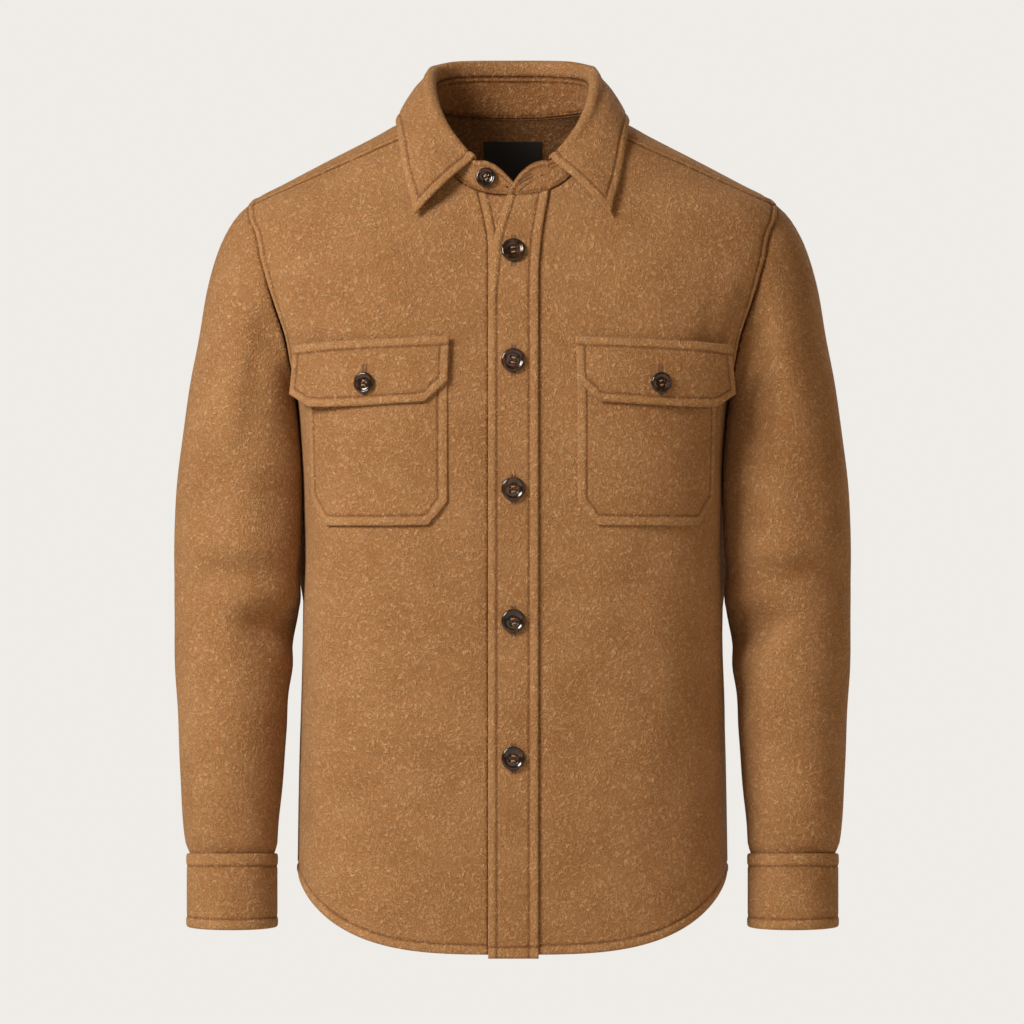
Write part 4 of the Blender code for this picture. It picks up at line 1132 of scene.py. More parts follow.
def back():
    left = side_and_armhole(-180.0, YOKE_BACK_TURN)
    arm_quarter, arm_z = armhole(np.array(YOKE_BACK_TURN))
    quarter = np.linspace(1, 3, 500)
    first = border(quarter, hem_z(np.where(quarter > 2, 4 - quarter, quarter)))
    reach = 2 - float(arm_quarter)
    last = border(2 + np.linspace(-1, 1, 400) * reach, np.full(400, float(arm_z)))
    place = panel_place(first, last, left, other_side(left))

    def shape(u, v):
        spot = place(u, v, 0.0)
        folds = slow_waves(spot, 1.4) + creases(BACK_CREASES, spot)
        return folds * edge_fade(u, v) + side_folds(spot)

    return Cloth("back", place, CLOTH, free=("first",), sewn=("last", "left", "right"),
                 stitches=(BACK_HEM, BACK_ARMHOLES), shape=shape)


piece = back()
piece.lay(flat=(0.56, 0.66), area=0.30)
sew(piece, BACK_HEM, "first", "body")
for side in ("left", "right"):
    sew(piece, BACK_ARMHOLES, side, "body", start=BACK_ARMHOLE_FROM)

# %% The yoke, over both shoulders
YOKE_FRONTS = Stitch(("first", "last"), 7.0, 0.7)
YOKE_ROUND = Stitch(("right",), 6.5, 0.7)


def yoke():
    arm_quarter, arm_z = armhole(np.linspace(YOKE_FRONT_TURN, YOKE_BACK_TURN, 90))
    seam_quarter = 2 + np.linspace(-1, 1, 300) * (2 - float(arm_quarter[-1]))
    outer = border(np.concatenate([arm_quarter[:-1], seam_quarter, (4 - arm_quarter)[:-1][::-1]]),
                   np.concatenate([arm_z[:-1], np.full(300, arm_z[-1]), arm_z[:-1][::-1]]))
    neck_quarter, neck_z = neck_at(np.linspace(NECK_TO_YOKE, 1, 200))
    inner = border(np.concatenate([neck_quarter, (4 - neck_quarter)[:-1][::-1]]),
                   np.concatenate([neck_z, neck_z[:-1][::-1]]))
    end = yoke_front_seam()
    place = panel_place(end, other_side(end), inner, outer, fade=14)
    return Cloth("yoke", place, CLOTH, sewn=("first", "last", "left", "right"),
                 stitches=(YOKE_FRONTS, YOKE_ROUND), step=4.5)


piece = yoke()
piece.lay(flat=(0.52, 0.24), area=0.085)
sew(piece, YOKE_FRONTS, "first", "body")
sew(piece, YOKE_FRONTS, "last", "body")
sew(piece, YOKE_ROUND, "right", "body")

# %% [markdown]
# ## Sleeves and cuffs
#
# A sleeve is a tube that starts on the slanted armhole and ends, gathered a little, at
# the cuff. It is set in below the body's stitched edge, so the body stands over it there.
# The cloth breaks inside the elbow: a swell, then a hollow, then a small swell again.
# The solids have the first seven folds; the sharper and the smaller ones are added here.

# %% The sleeve's skin, ring by ring
SLEEVE_KEYS = np.arange(len(SLEEVE), dtype=float)
ALL_FOLDS = SLEEVE_FOLDS + (
    Fold(-441.0, 116.0, -8.5, 14.0, 30.0, 0.25),
    Fold(-415.0, 142.0, 3.0, 11.0, 30.0, 0.15),
    Fold(-394.0, 82.0, -8.0, 12.0, 42.0, 0.04),
    Fold(-366.0, 80.0, 4.5, 16.0, 44.0, 0.05),
    Fold(-320.0, 148.0, 6.0, 75.0, 20.0, 0.0),
    Fold(-575.0, 30.0, -1.8, 26.0, 14.0, 0.8),
    Fold(-440.0, 186.0, 6.0, 24.0, 28.0, 0.10),
    Fold(-398.0, 180.0, -4.0, 20.0, 26.0, 0.0),
    Fold(-404.0, 42.0, -5.0, 11.0, 24.0, 0.10),
    Fold(-262.0, 20.0, 1.2, 60.0, 14.0, 0.5),
    Fold(-300.0, 120.0, 1.6, 20.0, 30.0, -0.35),
    Fold(-372.0, 128.0, 1.5, 14.0, 34.0, 0.25),
    Fold(-462.0, 96.0, -1.3, 16.0, 30.0, 0.3),
    Fold(-520.0, 150.0, 1.5, 20.0, 38.0, 0.2),
    Fold(-585.0, 60.0, 1.2, 16.0, 36.0, -0.2),
    Fold(-600.0, 140.0, -1.2, 14.0, 30.0, 0.15),
    Fold(-612.0, 235.0, 1.4, 14.0, 30.0, -0.2),
)


def sleeve_skin(turn, row):
    """A point of the left sleeve without folds; turn 0 is its outer side, 90 its front."""
    ring = {name: smooth(row, SLEEVE_KEYS, column(SLEEVE, name)) for name in Ring._fields}
    angle = np.radians(turn)
    along = np.cos(angle)
    x = (ring["outer_x"] * (1 + along) + ring["inner_x"] * (1 - along)) / 2
    z = (ring["outer_z"] * (1 + along) + ring["inner_z"] * (1 - along)) / 2
    depth = np.where(np.sin(angle) > 0, ring["front"], ring["back"])
    return np.stack([x, ring["mid_y"] - depth * np.sin(angle), z], axis=-1)


SEAM_OUT_LOW = 0.5       # mm off the body's skin, where the sleeve is sewn in under the arm
SEAM_IN_TOP = 0.8        # and inside it at the shoulder
SET_IN_ROWS = 3.0        # rings over which the sleeve is drawn on to the armhole


def turned_from(turn, middle=0.0):
    """Degrees from a middle, from -180 to 180."""
    return (turn - middle + 180) % 360 - 180


def sleeve_smooth(turn, row):
    """The sleeve's skin, drawn on to the armhole where it is sewn in."""
    turn = turn + 0 * row
    quarter, z = armhole(turned_from(turn))
    hole = body_skin(quarter, z)
    lean = body_point(quarter, z, 1.0) - hole
    fall = (SEAM_OUT_LOW + SEAM_IN_TOP) * (1 + np.cos(np.radians(turn))) / 2
    seam = hole + lean * (SEAM_OUT_LOW - fall)[..., None]
    fade = np.clip(1 - row / SET_IN_ROWS, 0, 1)[..., None] ** 2
    return sleeve_skin(turn, row) + (seam - sleeve_skin(turn, 0 * row)) * fade


def fold_depth(folds, turn, z):
    total = 0.0
    for fold in folds:
        around = turned_from(turn, fold.turn)
        down = (z - fold.z) + fold.lean * around
        total = total + fold.depth * np.exp(-(down / fold.half_height) ** 2
                                            - (around / fold.half_turn) ** 2)
    return total


def facing(skin, turn, row):
    around = skin(turn + 0.5, row) - skin(turn - 0.5, row)
    low = np.clip(row - 0.02, 0.0, len(SLEEVE) - 1.04)
    return across(around, skin(turn, low + 0.04) - skin(turn, low))


def sleeve_folded(turn, row):
    base = sleeve_smooth(turn, row)
    depth = fold_depth(ALL_FOLDS, turn + 0 * row, base[..., 2])
    return base + facing(sleeve_smooth, turn, row) * depth[..., None]


# %% Both sleeves
LAST_ROW = len(SLEEVE) - 1.0
UNDER_SEAM_TURN = 184.0  # the sleeve's one seam, under the arm; 1 degree is 1.05 mm there
ROW_SHARES = np.linspace(0, 1, 300)


def even_rows():
    """Ring numbers at even steps down the sleeve's outer side."""
    rows = np.linspace(0, LAST_ROW, 600)
    along = run_along(sleeve_smooth(np.full(600, 60.0), rows))
    return np.interp(ROW_SHARES, along / along[-1], rows)


EVEN_ROWS = even_rows()


def sleeve(name, side):
    flip = np.array([side, 1.0, 1.0])

    def place(u, v, out):
        u, v, out = np.broadcast_arrays(u, v, out)
        turn = u * 360.0
        row = np.interp(v, ROW_SHARES, EVEN_ROWS)
        spot = sleeve_folded(turn, row)
        way = facing(sleeve_folded, turn, row)
        quarter, z = armhole(turned_from(turn))
        lean = body_point(quarter, z, 1.0) - body_point(quarter, z)
        share = np.clip(1.6 * np.cos(np.radians(turn)), 0, 1) * np.clip(1 - row / 0.5, 0, 1)
        way = way * (1 - share[..., None]) + lean * share[..., None]
        way = way / np.linalg.norm(way, axis=-1, keepdims=True)
        return (spot + way * out[..., None]) * flip

    def shape(u, v):
        seam = turned_from(u * 360.0, UNDER_SEAM_TURN) * 1.05
        spot = place(u, v, 0.0) * flip
        ends = np.clip(v / 0.06, 0, 1) * np.clip((1 - v) / 0.05, 0, 1)
        return slow_waves(spot + (130, 60, 40), 1.3) * ends - 0.7 * np.exp(-(seam / 1.6) ** 2)

    return Cloth(name, place, CLOTH, sewn=("first",), shape=shape, ring=True, step=4.6)


for wearer_side, flip_x in SIDES:
    piece = sleeve("sleeve_" + wearer_side, flip_x)
    piece.lay(flat=(0.46, 0.63), area=0.205)

# %% The cuffs: a band whose end laps over, under the wrist
CUFF_RIM = Stitch(("last",), 9.4, 0.65)
CUFF_HEAD = Stitch(("first",), 11.2, 0.65)
CUFF_ENDS = Stitch(("left", "right"), 6.0, 0.5)


def cuff_point(turn, share, out):
    angle = np.radians(turn)
    reach = CUFF_OUTER + out
    foot = CUFF_FOOT_Z - CUFF_DROP * (1 + np.sin(angle)) / 2
    return np.stack([CUFF_X + reach * np.cos(angle), CUFF_Y - reach * np.sin(angle),
                     CUFF_TOP_Z + (foot - CUFF_TOP_Z) * share], axis=-1)


def cuff(name, side):
    flip = np.array([side, 1.0, 1.0])

    def place(u, v, out):
        u, v, out = np.broadcast_arrays(u, v, out)
        turn = CUFF_START + u * (360 + CUFF_LAP)
        climb = np.clip((turn - CUFF_START + CUFF_LAP - 360) / CUFF_LAP, 0, 1)
        climb = ease(climb) * (CUFF_WALL + LAY_GAP)
        return cuff_point(turn, v, climb + out) * flip

    return Cloth(name, place, CUFF_WALL, free=("left", "right", "first", "last"),
                 stitches=(CUFF_RIM, CUFF_HEAD, CUFF_ENDS), step=4.0)


for wearer_side, flip_x in SIDES:
    piece = cuff("cuff_" + wearer_side, flip_x)
    piece.lay(flat=(0.27, 0.063), area=0.0168)
    sew(piece, CUFF_RIM, "last", "sleeves")
    sew(piece, CUFF_HEAD, "first", "sleeves")
    sew(piece, CUFF_ENDS, "right", "sleeves")

# %% [markdown]
# ## The collar
#
# A shirt collar is two pieces: a band that stands round the neck and ends in two rounded
# tabs, and a leaf that rises out of the band, rolls over and comes down to its points.
# Both are laid through a net of places, with a smooth curve through the net.

# %% A smooth net
def through(keys, values, places):
    """A smooth curve through values at keys, along the first axis."""
    tangent = np.gradient(values, keys, axis=0)
    low = np.clip(np.searchsorted(keys, places) - 1, 0, len(keys) - 2)
    step = (keys[low + 1] - keys[low])
    t = (places - keys[low]) / step
    extra = (1,) * (values.ndim - 1)
    t, step = t.reshape(-1, *extra), step.reshape(-1, *extra)
    return values[low] * (2 * t**3 - 3 * t**2 + 1) + tangent[low] * step * (t**3 - 2 * t**2 + t) \
        + values[low + 1] * (3 * t**2 - 2 * t**3) + tangent[low + 1] * step * (t**3 - t**2)


def lengths(points):
    """Share of the way along the first axis, from the mean length of each step."""
    step = np.linalg.norm(np.diff(points, axis=0), axis=-1)
    step = step.reshape(len(step), -1).mean(axis=1)
    along = np.concatenate([[0.0], np.cumsum(step)])
    return along / along[-1]


NET_ACROSS = 700
NET_UP = 160


def net_place(net, thick, outward):
    """place(u, v, out) of a wall whose middle runs through net[up, across]."""
    fine = through(lengths(net), net, np.linspace(0, 1, NET_UP))
    fine = fine.swapaxes(0, 1)
    turned = net.swapaxes(0, 1)
    fine = through(lengths(turned), fine, np.linspace(0, 1, NET_ACROSS)).swapaxes(0, 1)
    normal = across(np.gradient(fine, axis=1), np.gradient(fine, axis=0)) * outward

    def place(u, v, out):
        u, v, out = np.broadcast_arrays(u, v, out)
        row = np.clip(v, 0, 1) * (NET_UP - 1.001)
        spot = np.clip(u, 0, 1) * (NET_ACROSS - 1.001)
        low_row, low = row.astype(int), spot.astype(int)
        up, on = (row - low_row)[..., None], (spot - low)[..., None]

        def pick(values):
            return (values[low_row, low] * (1 - on) + values[low_row, low + 1] * on) * (1 - up) \
                + (values[low_row + 1, low] * (1 - on) + values[low_row + 1, low + 1] * on) * up

        return pick(fine) + pick(normal) * (out[..., None] + thick / 2)
    return place


# %% The places of the collar: its foot, the top of its roll and the leaf's edge
def collar_places():
    quarter, z = neck_at(column(COLLAR, "along"))
    foot = body_skin(quarter, z)
    top = np.stack([column(COLLAR, name) for name in ("top_x", "top_y", "top_z")], axis=-1)
    behind = column(COLLAR, "behind") > 0
    edge_z = column(COLLAR, "edge_z")
    edge_quarter = front_quarter(column(COLLAR, "edge_x"), edge_z)
    edge_quarter = np.where(behind, 2 - edge_quarter, edge_quarter)
    stand_off = POINT_LIFT * np.clip((0.36 - column(COLLAR, "along")) / 0.2, 0, 1)
    edge = body_point(edge_quarter, edge_z, LEAF_LIFT)
    edge[:, 1] -= stand_off
    return foot, top, edge


def both_halves(half):
    return np.concatenate([half, (half * (-1, 1, 1))[:-1][::-1]])


# %% The band
# The wearer's left end laps over the right one: x and z of its top corner, x of its foot.
BAND_LAPS = ((-1.2, -50.6, -4.6), (-6.0, -53.0, -6.0))
BAND_LAP_LIFT = 1.3
BAND_RIM = Stitch(("last", "left", "right"), 4.6, 0.55)
BAND_FOOT = Stitch(("first",), 2.4, 0.45)


def collar_band():
    foot, top, _ = collar_places()
    end_top = np.stack([column(BAND_END, name) for name in ("top_x", "top_y", "top_z")], axis=-1)
    end_foot = body_skin(*neck_at(column(BAND_END, "along")))
    lows, highs = [], []
    for (top_x, top_z, foot_x), lap in zip(BAND_LAPS, (-BAND_LAP_LIFT, BAND_LAP_LIFT)):
        tab_top, tab_foot = end_top.copy(), end_foot.copy()
        tab_top[0, 0], tab_top[0, 2], tab_foot[0, 0] = top_x, top_z, foot_x
        for tab in (tab_top, tab_foot):
            tab[:, 1] += lap * np.clip(1 - tab[:, 0] / 16.0, 0, 1)
        lows.append(np.concatenate([tab_foot, foot]))
        highs.append(np.concatenate([tab_top, top]))
    low, high = [np.concatenate([over, (under * (-1, 1, 1))[:-1][::-1]])
                 for over, under in (lows, highs)]
    way = (high - low) / np.linalg.norm(high - low, axis=-1, keepdims=True)
    low, high = low + way * BAND_GAP, high - way * ROLL_GAP
    shares = np.array([0.0, 0.3, 0.65, 1.0])[:, None, None]
    place = net_place(low * (1 - shares) + high * shares, DOUBLE, 1)
    return Cloth("collar_stand", place, DOUBLE, free=("left", "right"),
                 sewn=("first", "last"), stitches=(BAND_RIM, BAND_FOOT), step=3.0, both=True)


band = collar_band()
middle = band.place(np.array(0.5), np.array(0.5), np.array([0.0, 1.0]))
print("band, out at the centre back:", (middle[1] - middle[0]).round(2))
band.lay(flat=(0.44, 0.042), area=0.0145)
sew(band, BAND_RIM, "last", "collar")
sew(band, BAND_FOOT, "first", "collar")

# %% The leaf
LEAF_RIM = Stitch(("left", "right", "last"), 7.6, 0.75)


def collar_leaf():
    _, top, edge = collar_places()
    out = (edge - top) * (1, 1, 0)
    out /= np.linalg.norm(out, axis=-1, keepdims=True)
    up = np.array([0.0, 0.0, 1.0])
    swell = np.clip((column(COLLAR, "along")[:, None] - 0.10) / 0.14, 0.35, 1)
    radius = ROLL_RADIUS * swell
    rise = column(COLLAR, "rise")[:, None] * (0.4 + 0.6 * swell)
    centre = top + (rise - radius) * up + out * radius
    rows = [top]
    for angle in np.radians((155.0, 115.0, 75.0, 35.0, 0.0)):
        rows.append(centre + radius * (out * math.cos(angle) + up * math.sin(angle)))
    start = rows[-1]
    open_front = np.clip((0.26 - column(COLLAR, "along")[:, None]) / 0.12, 0, 1) * (0.0, -4.5, 0.0)
    for share in (0.3, 0.65, 1.0):
        belly = math.sin(share * math.pi)
        rows.append(start + (edge - start) * share + out * 2.5 * belly + open_front * belly)
    place = net_place(np.stack([both_halves(row) for row in rows]), DOUBLE, -1)
    return Cloth("collar", place, DOUBLE, free=("left", "right", "last"), sewn=("first",),
                 stitches=(LEAF_RIM,), step=3.2)


leaf = collar_leaf()
middle = leaf.place(np.array(0.5), np.array(0.8), np.array([0.0, 1.0]))
print("leaf, out at the centre back:", (middle[1] - middle[0]).round(2))
leaf.lay(flat=(0.50, 0.10), area=0.034)
for side in ("last", "left", "right"):
    sew(leaf, LEAF_RIM, side, "collar")

# %% [markdown]
# ## Plackets, pockets and flaps
#
# These lie on the fronts, so they are made from the fronts' own points, moved out. Each
# is doubled or turned at its edges, which are therefore rounded, and stitched down.

# %% The plackets
PLACKET_FREE = Stitch(("left",), 7.8, 0.7)
PLACKET_SEWN = Stitch(("right",), 8.4, 0.7)
PLACKET_FOOT = Stitch(("first",), 10.0, 0.65)
UNDER_SEEN_FROM = 0.70   # the under placket's free edge shows only above this share of it


def placket(name, edge_x, seam_x, base, stitches, free):
    top = np.array(PLACKET_TOP_Z)

    def place(u, v, out):
        u, v, out = np.broadcast_arrays(u, v, out)
        ends = edge_x(top) * (1 - u) + seam_x(top) * u
        top_z = neck_at(neck_share(np.maximum(np.abs(ends), 0.1)))[1] - SEAM_GAP
        z = PLACKET_BOTTOM_Z + (top_z - PLACKET_BOTTOM_Z) * v
        x = edge_x(z) * (1 - u) + seam_x(z) * u
        return body_point(front_quarter(x, z), z, base + out)

    return Cloth(name, place, DOUBLE, free=free, sewn=("last",), stitches=stitches, step=4.0)


top_placket = placket("placket_left", strip_edge, left_seam, DOUBLE + LAY_GAP,
                      (PLACKET_FREE, PLACKET_SEWN, PLACKET_FOOT), ("left", "first", "right"))
top_placket.lay(flat=(0.045, 0.69), area=0.0305)
sew(top_placket, PLACKET_FREE, "left", "placket")
sew(top_placket, PLACKET_SEWN, "right", "placket")
sew(top_placket, PLACKET_FOOT, "first", "placket")
under_placket = placket("placket_right", lambda z: -right_seam(z),
                        lambda z: -strip_edge(z) - UNDER_MARGIN, 0.0, (PLACKET_FREE,),
                        ("right", "first"))
under_placket.lay(flat=(0.045, 0.69), area=0.0305)
sew(under_placket, PLACKET_FREE, "left", "placket", start=UNDER_SEEN_FROM)

# %% The patch pockets and their flaps
POCKET_RIM = Stitch(("left", "right", "last"), 8.6, 0.7)
FLAP_RIM = Stitch(("left", "right", "last"), 8.0, 0.7, 8.2)
FLAP_HEAD = Stitch(("first",), 8.2, 0.75)


def laid_piece(name, table, side, base, thick, stitches, swell):
    keys = column(table, "top_x")
    keys = (keys - keys[0]) / (keys[-1] - keys[0])

    def place(u, v, out):
        u, v, out = np.broadcast_arrays(u, v, out)
        line = {field: np.interp(u, keys, column(table, field)) for field in Line._fields}
        x = line["top_x"] * (1 - v) + line["foot_x"] * v
        z = line["top_z"] * (1 - v) + line["foot_z"] * v
        lift = line["lift"] * (0.35 + 0.65 * v)
        return body_point(side * front_quarter(x, z), z, base + thick + lift + out)

    def shape(u, v):
        return swell * np.sin(math.pi * np.clip(u, 0, 1)) * np.sin(math.pi * np.clip(v, 0, 1))

    return Cloth(name, place, thick, free=("left", "right", "first", "last"),
                 stitches=stitches, shape=shape, step=3.6, marks=keys[2:-2])


for wearer_side, flip_x in SIDES:
    piece = laid_piece("pocket_" + wearer_side, POCKET, flip_x, POCKET_LAY, CLOTH,
                       (POCKET_RIM,), POCKET_SWELL)
    piece.lay(flat=(0.13, 0.17), area=0.0205)
    for side in ("left", "right", "last"):
        sew(piece, POCKET_RIM, side, "pockets")
    piece = laid_piece("flap_" + wearer_side, FLAP, flip_x, FLAP_LAY, DOUBLE,
                       (FLAP_RIM, FLAP_HEAD), FLAP_SWELL)
    piece.lay(flat=(0.14, 0.065), area=0.0078)
    for side in ("left", "right", "last"):
        sew(piece, FLAP_RIM, side, "pockets")
    sew(piece, FLAP_HEAD, "first", "pockets")

# %% The neck label: a bare ribbon, caught at both ends inside the yoke
def label():
    def place(u, v, out):
        u, v, out = np.broadcast_arrays(u, v, out)
        x = (2 * u - 1) * LABEL_HALF_WIDTH
        z = LABEL_TOP_Z + (LABEL_FOOT_Z - LABEL_TOP_Z) * v
        return body_point(2 - front_quarter(x, z), z, -CLOTH - LABEL_GAP + out)

    return Cloth("label_neck", place, LABEL_WALL, free=("left", "right", "first", "last"),
                 step=2.0)


ribbon = label()
u, v = ribbon.layout()
cut_round = ribbon.rounding(u, v)
item = closed_wall("label_neck", ribbon.place(u, v, -cut_round),
                   ribbon.place(u, v, cut_round - LABEL_WALL), False, RIBBON)

# %% [markdown]
# ## Buttons
#
# A horn button is turned on a lathe, so it is one profile swept round: a rounded rim
# that stands up, a dished middle, and four holes bored through. The holes here are
# sunk pits with a lathe-like ring of their own, joined to the face by triangles, because
# that keeps the rim smooth. Waxed thread crosses from hole to hole in two bars.

# %% One button's face, as rings round the axis and round each hole
BUTTON_SIDES = 64
HOLE_SIDES = 16
HOLE_RADIUS = 0.115      # of the button's radius
HOLE_REACH = 0.20
HOLE_TURNS = (45, 135, 225, 315)
RIM = (
    # share of the radius, share of half the thickness
    (0.60, -1.0), (0.80, -1.0), (0.90, -0.86), (0.97, -0.5), (1.0, -0.1), (0.995, 0.3),
    (0.97, 0.62), (0.93, 0.85), (0.88, 0.97), (0.83, 1.0), (0.78, 0.94), (0.73, 0.76),
    (0.68, 0.56), (0.62, 0.42), (0.52, 0.33), (0.42, 0.29),
)


def button_mesh(radius):
    """Points and faces of a button that faces +Z, its thickness about the origin."""
    half = BUTTON_THICKNESS / 2
    shape = bmesh.new()

    def ring(centre_x, centre_y, reach, height, sides):
        turns = np.arange(sides) * 2 * math.pi / sides
        return [shape.verts.new((centre_x + reach * math.cos(a), centre_y + reach * math.sin(a),
                                 height)) for a in turns]

    def bridge(low, high):
        for k in range(len(low)):
            shape.faces.new((low[k], low[(k + 1) % len(low)], high[(k + 1) % len(high)], high[k]))

    rings = [ring(0, 0, reach * radius, height * half, BUTTON_SIDES) for reach, height in RIM]
    for low, high in zip(rings, rings[1:]):
        bridge(low, high)
    shape.faces.new(rings[0][::-1])
    floor_z = RIM[-1][1] * half
    mouths = []
    for turn in HOLE_TURNS:
        x = HOLE_REACH * radius * math.sqrt(2) * math.cos(math.radians(turn))
        y = HOLE_REACH * radius * math.sqrt(2) * math.sin(math.radians(turn))
        reach = HOLE_RADIUS * radius
        steps = [ring(x, y, reach * 1.25, floor_z, HOLE_SIDES),
                 ring(x, y, reach, floor_z - 0.15, HOLE_SIDES),
                 ring(x, y, reach * 0.95, -0.55 * half, HOLE_SIDES)]
        bridge(steps[0], steps[1])
        bridge(steps[1], steps[2])
        shape.faces.new(steps[2])
        mouths.append(steps[0])
    edges = []
    for loop in [rings[-1]] + mouths:
        for k in range(len(loop)):
            found = shape.edges.get((loop[k], loop[(k + 1) % len(loop)]))
            edges.append(found or shape.edges.new((loop[k], loop[(k + 1) % len(loop)])))
    bmesh.ops.triangle_fill(shape, edges=edges, use_beauty=True)
    bmesh.ops.recalc_face_normals(shape, faces=shape.faces)
    shape.verts.index_update()
    points = np.array([vertex.co for vertex in shape.verts])
    faces = [[vertex.index for vertex in face.verts] for face in shape.faces]
    shape.free()
    return points, faces


BAR_LIES = (-0.3, 0.0, 0.3)   # mm; three strands lie side by side in a bar
BAR_THICKNESS = 0.75     # of the topstitching's thickness


def button_axes(out_way, twist):
    out_way = np.asarray(out_way, float) / np.linalg.norm(out_way)
    side = np.cross((0.0, 0.0, 1.0), out_way)
    side /= np.linalg.norm(side)
    up = np.cross(out_way, side)
    turn = math.radians(twist)
    return np.stack([side * math.cos(turn) + up * math.sin(turn),
                     up * math.cos(turn) - side * math.sin(turn), out_way])


def set_button(name, radius, place, out_way, twist):
    """One button, with the two bars of thread that hold it on."""
    axes = button_axes(out_way, twist)
    points, faces = button_mesh(radius)
    write_mesh(name + "_horn", np.asarray(place) + points @ axes, faces, HORN,
               (name,))
    reach = HOLE_REACH * radius
    level = RIM[-1][1] * BUTTON_THICKNESS / 2 + THREAD_LIFT
    starts, ends = [], []
    for bar in (-1, 1):
        for lie in BAR_LIES:
            starts.append((-reach, bar * reach + lie, level))
            ends.append((reach, bar * reach + lie, level))
    add_stitches("buttons", np.asarray(place) + np.array(starts) @ axes,
                 np.asarray(place) + np.array(ends) @ axes,
                 np.repeat(axes[2:3], len(starts), axis=0), BAR_THICKNESS)


# %% The buttons of the front, the flaps, the cuffs and the band
def on_front(name, radius, x, z, out, twist):
    quarter = front_quarter(np.array(x), np.array(z))
    foot = body_point(quarter, np.array(z))
    way = body_point(quarter, np.array(z), 1.0) - foot
    set_button(name, radius, foot + way * (out + LAY_GAP + BUTTON_THICKNESS / 2), way, twist)


TWISTS = (8.0, -12.0, 4.0, 17.0, -6.0)   # degrees; no button is sewn on quite straight
POCKET_TWIST = 10.0
CUFF_TWIST = 5.0
BAND_TWIST = 20.0
for number, (height, twist) in enumerate(zip(BUTTON_Z, TWISTS), start=1):
    on_front(f"button_front_{number}", BUTTON_RADIUS, BUTTON_X, height, DOUBLE + LAY_GAP, twist)
for wearer_side, flip_x in SIDES:
    on_front("button_pocket_" + wearer_side, SMALL_BUTTON_RADIUS, flip_x * FLAP_BUTTON[0],
             FLAP_BUTTON[1], FLAP_LAY + DOUBLE + FLAP_SEAT, POCKET_TWIST * flip_x)
    flip = np.array([flip_x, 1.0, 1.0])
    turn = np.array(CUFF_START + 360 + CUFF_LAP / 2)
    lap = CUFF_WALL + LAY_GAP
    seat = cuff_point(turn, 0.5, lap) * flip
    way = cuff_point(turn, 0.5, lap + 1.0) * flip - seat
    set_button("button_cuff_" + wearer_side, SMALL_BUTTON_RADIUS,
               seat + way * (LAY_GAP + BUTTON_THICKNESS / 2), way, CUFF_TWIST)

# The band's button sits on its under end, at the net's place nearest to the real one.
x, height = BAND_BUTTON
tab_u, tab_v = np.meshgrid(np.linspace(0.90, 1.0, 60), np.linspace(0, 1, 40))
tab = band.place(tab_u, tab_v, 0 * tab_u)
near = np.unravel_index(np.argmin(np.hypot(tab[..., 0] - x, tab[..., 2] - height)), tab_u.shape)
seat = band.place(tab_u[near], tab_v[near], np.array(0.0))
way = band.place(tab_u[near], tab_v[near], np.array(1.0)) - seat
print("band button sits at", seat.round(1), "facing", way.round(2))
set_button("button_stand", BAND_BUTTON_RADIUS,
           seat + way * (BAND_BUTTON_LIFT + BUTTON_THICKNESS / 2), way, BAND_TWIST)

# %% [markdown]
# ## Buttonholes
#
# A worked buttonhole is a slit with thread wrapped closely over both lips. The stitches
# lie square to the slit, side by side, and the lips stand up a little.

# %% One buttonhole, along a line of points with its outward way
HOLE_MARGIN = 3.0        # mm that a buttonhole shows past its button, above and below
FLAP_HOLE_BELOW = 2.0
FLAP_HOLE_ABOVE = 7.0
LIP_WIDTH = 2.3          # mm of wrapped thread on each side of the slit
LIP_PITCH = 0.52
LIP_START = 0.22         # from the slit to where a stitch starts
LIP_LIFT = 0.12
LIP_THICKNESS = 0.62     # of the topstitching's thickness


def buttonhole(points, way):
    """Wrapped stitches on both sides of a line."""
    along = run_along(points)
    places = np.arange(0, along[-1], LIP_PITCH)
    spots, out = spots_at(places, along, points), spots_at(places, along, way)
    side = across(np.gradient(spots, axis=0), out)
    for lip in (-1, 1):
        near = spots + side * lip * LIP_START + out * LIP_LIFT
        add_stitches("buttonholes", near, near + side * lip * LIP_WIDTH, out, LIP_THICKNESS)


def on_placket(x, low_z, high_z, out):
    z = np.linspace(low_z, high_z, 30)
    quarter = front_quarter(np.full(30, x), z)
    line = body_point(quarter, z, out)
    buttonhole(line, body_point(quarter, z, out + 1.0) - line)


for height in BUTTON_Z:
    reach = BUTTON_RADIUS + HOLE_MARGIN
    on_placket(BUTTON_X, height - reach, height + reach, DOUBLE + LAY_GAP + PLACKET_HOLE_LIFT)
for flip_x in (1, -1):
    on_placket(flip_x * FLAP_BUTTON[0], FLAP_BUTTON[1] - SMALL_BUTTON_RADIUS - FLAP_HOLE_BELOW,
               FLAP_BUTTON[1] + SMALL_BUTTON_RADIUS + FLAP_HOLE_ABOVE,
               FLAP_LAY + DOUBLE + FLAP_HOLE_LIFT)
BAND_HOLE_SHARE = 0.62   # of the band's height
BAND_HOLE_LIFT = 0.1
over = np.linspace(0.018, 0.046, 30)
level = np.full(30, BAND_HOLE_SHARE)
line = band.place(over, level, np.full(30, BAND_HOLE_LIFT))
buttonhole(line, band.place(over, level, np.full(30, BAND_HOLE_LIFT + 1.0)) - line)

# %% [markdown]
# ## Thread
#
# Every visible seam is topstitched with strong thread, about three stitches to the
# centimetre. All the stitches of a group go into one mesh.

# %% Write the thread
cloth_groups = [group for group in THREADS if group != "buttons"]
print("stitches:", write_threads(cloth_groups, THREAD))
print("button thread bars:", write_threads(["buttons"], BUTTON_THREAD))

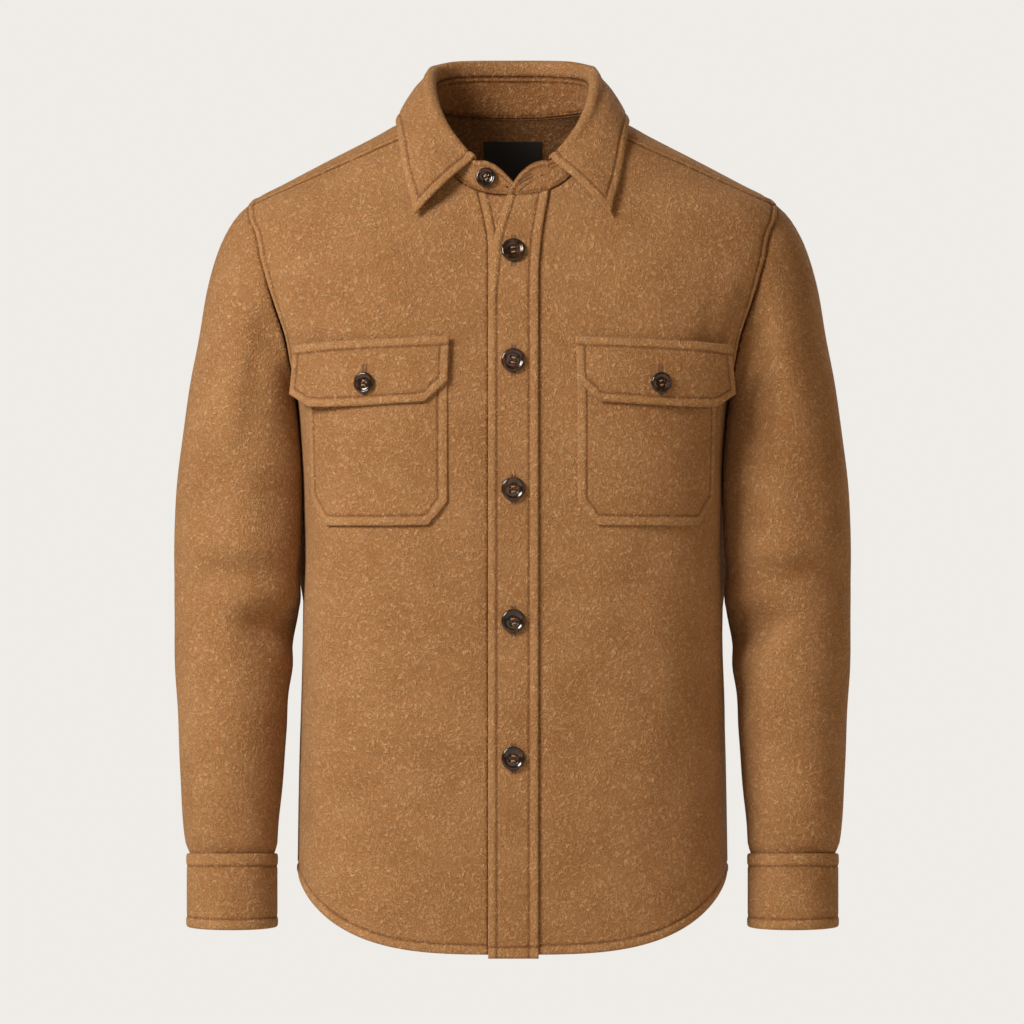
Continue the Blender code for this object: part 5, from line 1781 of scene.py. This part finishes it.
# %% [markdown]
# ## The studio
#
# The picture was taken from far away with a long lens, so there is hardly any
# perspective. The main light is a soft one, high at the upper left. A weak warm light
# from the right and one from the front fill its shadows, the pale room adds a little
# from all round, and one more light stands behind, for the views of the back.

# %% Camera
PICTURE_WIDTH = 0.901    # metres of the garment's plane across the picture
CAMERA_DISTANCE = 40.0
CAMERA_LENS = 36.0 * CAMERA_DISTANCE / PICTURE_WIDTH
CENTRE_Z = -0.338
PLANE_Y = -0.06          # the plane that the picture's width is measured in

camera_data = bpy.data.cameras.new("camera")
camera_data.lens = CAMERA_LENS
camera_data.sensor_width = 36.0
camera_data.clip_end = 200.0
camera = add_item("camera", camera_data)
camera.location = (-0.0005, PLANE_Y - CAMERA_DISTANCE, CENTRE_Z)
camera.rotation_euler = (math.pi / 2, 0.0, 0.0)
bpy.context.scene.camera = camera
print("lens:", round(CAMERA_LENS, 1), "mm")

# %% Lights
LIGHT_TARGET = (0.0, 0.0, -0.35)


def soft_light(name, place, size, power, colour):
    light = bpy.data.lights.new(name, "AREA")
    light.shape = "RECTANGLE"
    light.size, light.size_y = size
    light.energy = power
    light.color = linear(colour)[:3]
    item = add_item(name, light)
    item.location = place
    way = np.array(LIGHT_TARGET) - np.array(place, float)
    item.rotation_euler = (math.atan2(math.hypot(way[0], way[1]), -way[2]), 0.0,
                           math.atan2(-way[0], way[1]))


KEY_POWER = 142.0
SIDE_POWER = 11.5
FRONT_POWER = 11.5
BACK_POWER = 60.0
soft_light("key_light", (-2.3, -2.2, 1.5), (1.35, 1.35), KEY_POWER, "FFF8F0")
soft_light("side_light", (3.2, -0.9, 0.2), (1.4, 1.8), SIDE_POWER, "FFE6C8")
soft_light("front_light", (0.5, -3.5, 0.5), (2.2, 2.2), FRONT_POWER, "FFEEDC")
soft_light("back_light", (1.2, 3.3, 1.2), (1.8, 1.8), BACK_POWER, "FFF8F0")
print("lights:", KEY_POWER, SIDE_POWER, FRONT_POWER, BACK_POWER, "W")

# %% The pale room: what the camera sees, and the softer light that it gives
ROOM_COLOUR = "EFECE7"
ROOM_LIGHT = 0.14
ROOM_GLOW = "FFD2A0"     # light that came back from the warm floor and walls
world = bpy.data.worlds.new("pale_room")
bpy.context.scene.world = world
world.use_nodes = True
tree = world.node_tree
room = tree.nodes["Background"]
room.inputs["Color"].default_value = linear(ROOM_COLOUR)
room.inputs["Strength"].default_value = 1.0
lit = add_node(tree, "ShaderNodeBackground", inputs={
    "Color": linear(ROOM_GLOW), "Strength": ROOM_LIGHT})
seen = add_node(tree, "ShaderNodeLightPath").outputs["Is Camera Ray"]
both = add_node(tree, "ShaderNodeMixShader", inputs={
    0: seen, 1: lit.outputs[0], 2: room.outputs[0]})
tree.links.new(both.outputs[0], tree.nodes["World Output"].inputs["Surface"])
bpy.context.scene.view_settings.view_transform = "Standard"

# %% Floor
FLOOR_Z = -0.95
FLOOR_RADIUS = 2.4
turns = np.linspace(0, 2 * math.pi, 97)[:-1]
mesh = bpy.data.meshes.new("floor")
mesh.from_pydata([(FLOOR_RADIUS * math.cos(a), FLOOR_RADIUS * math.sin(a), FLOOR_Z)
                  for a in turns], [], [list(range(96))])
# Matt paint: rough, with no gloss, so it shows only soft shadows.
floor_paint, _, floor_shader = new_material("matt_pale_paint", 0.9)
floor_shader.inputs["Base Color"].default_value = linear("E4E0DA")
mesh.materials.append(floor_paint)
add_item("floor", mesh)
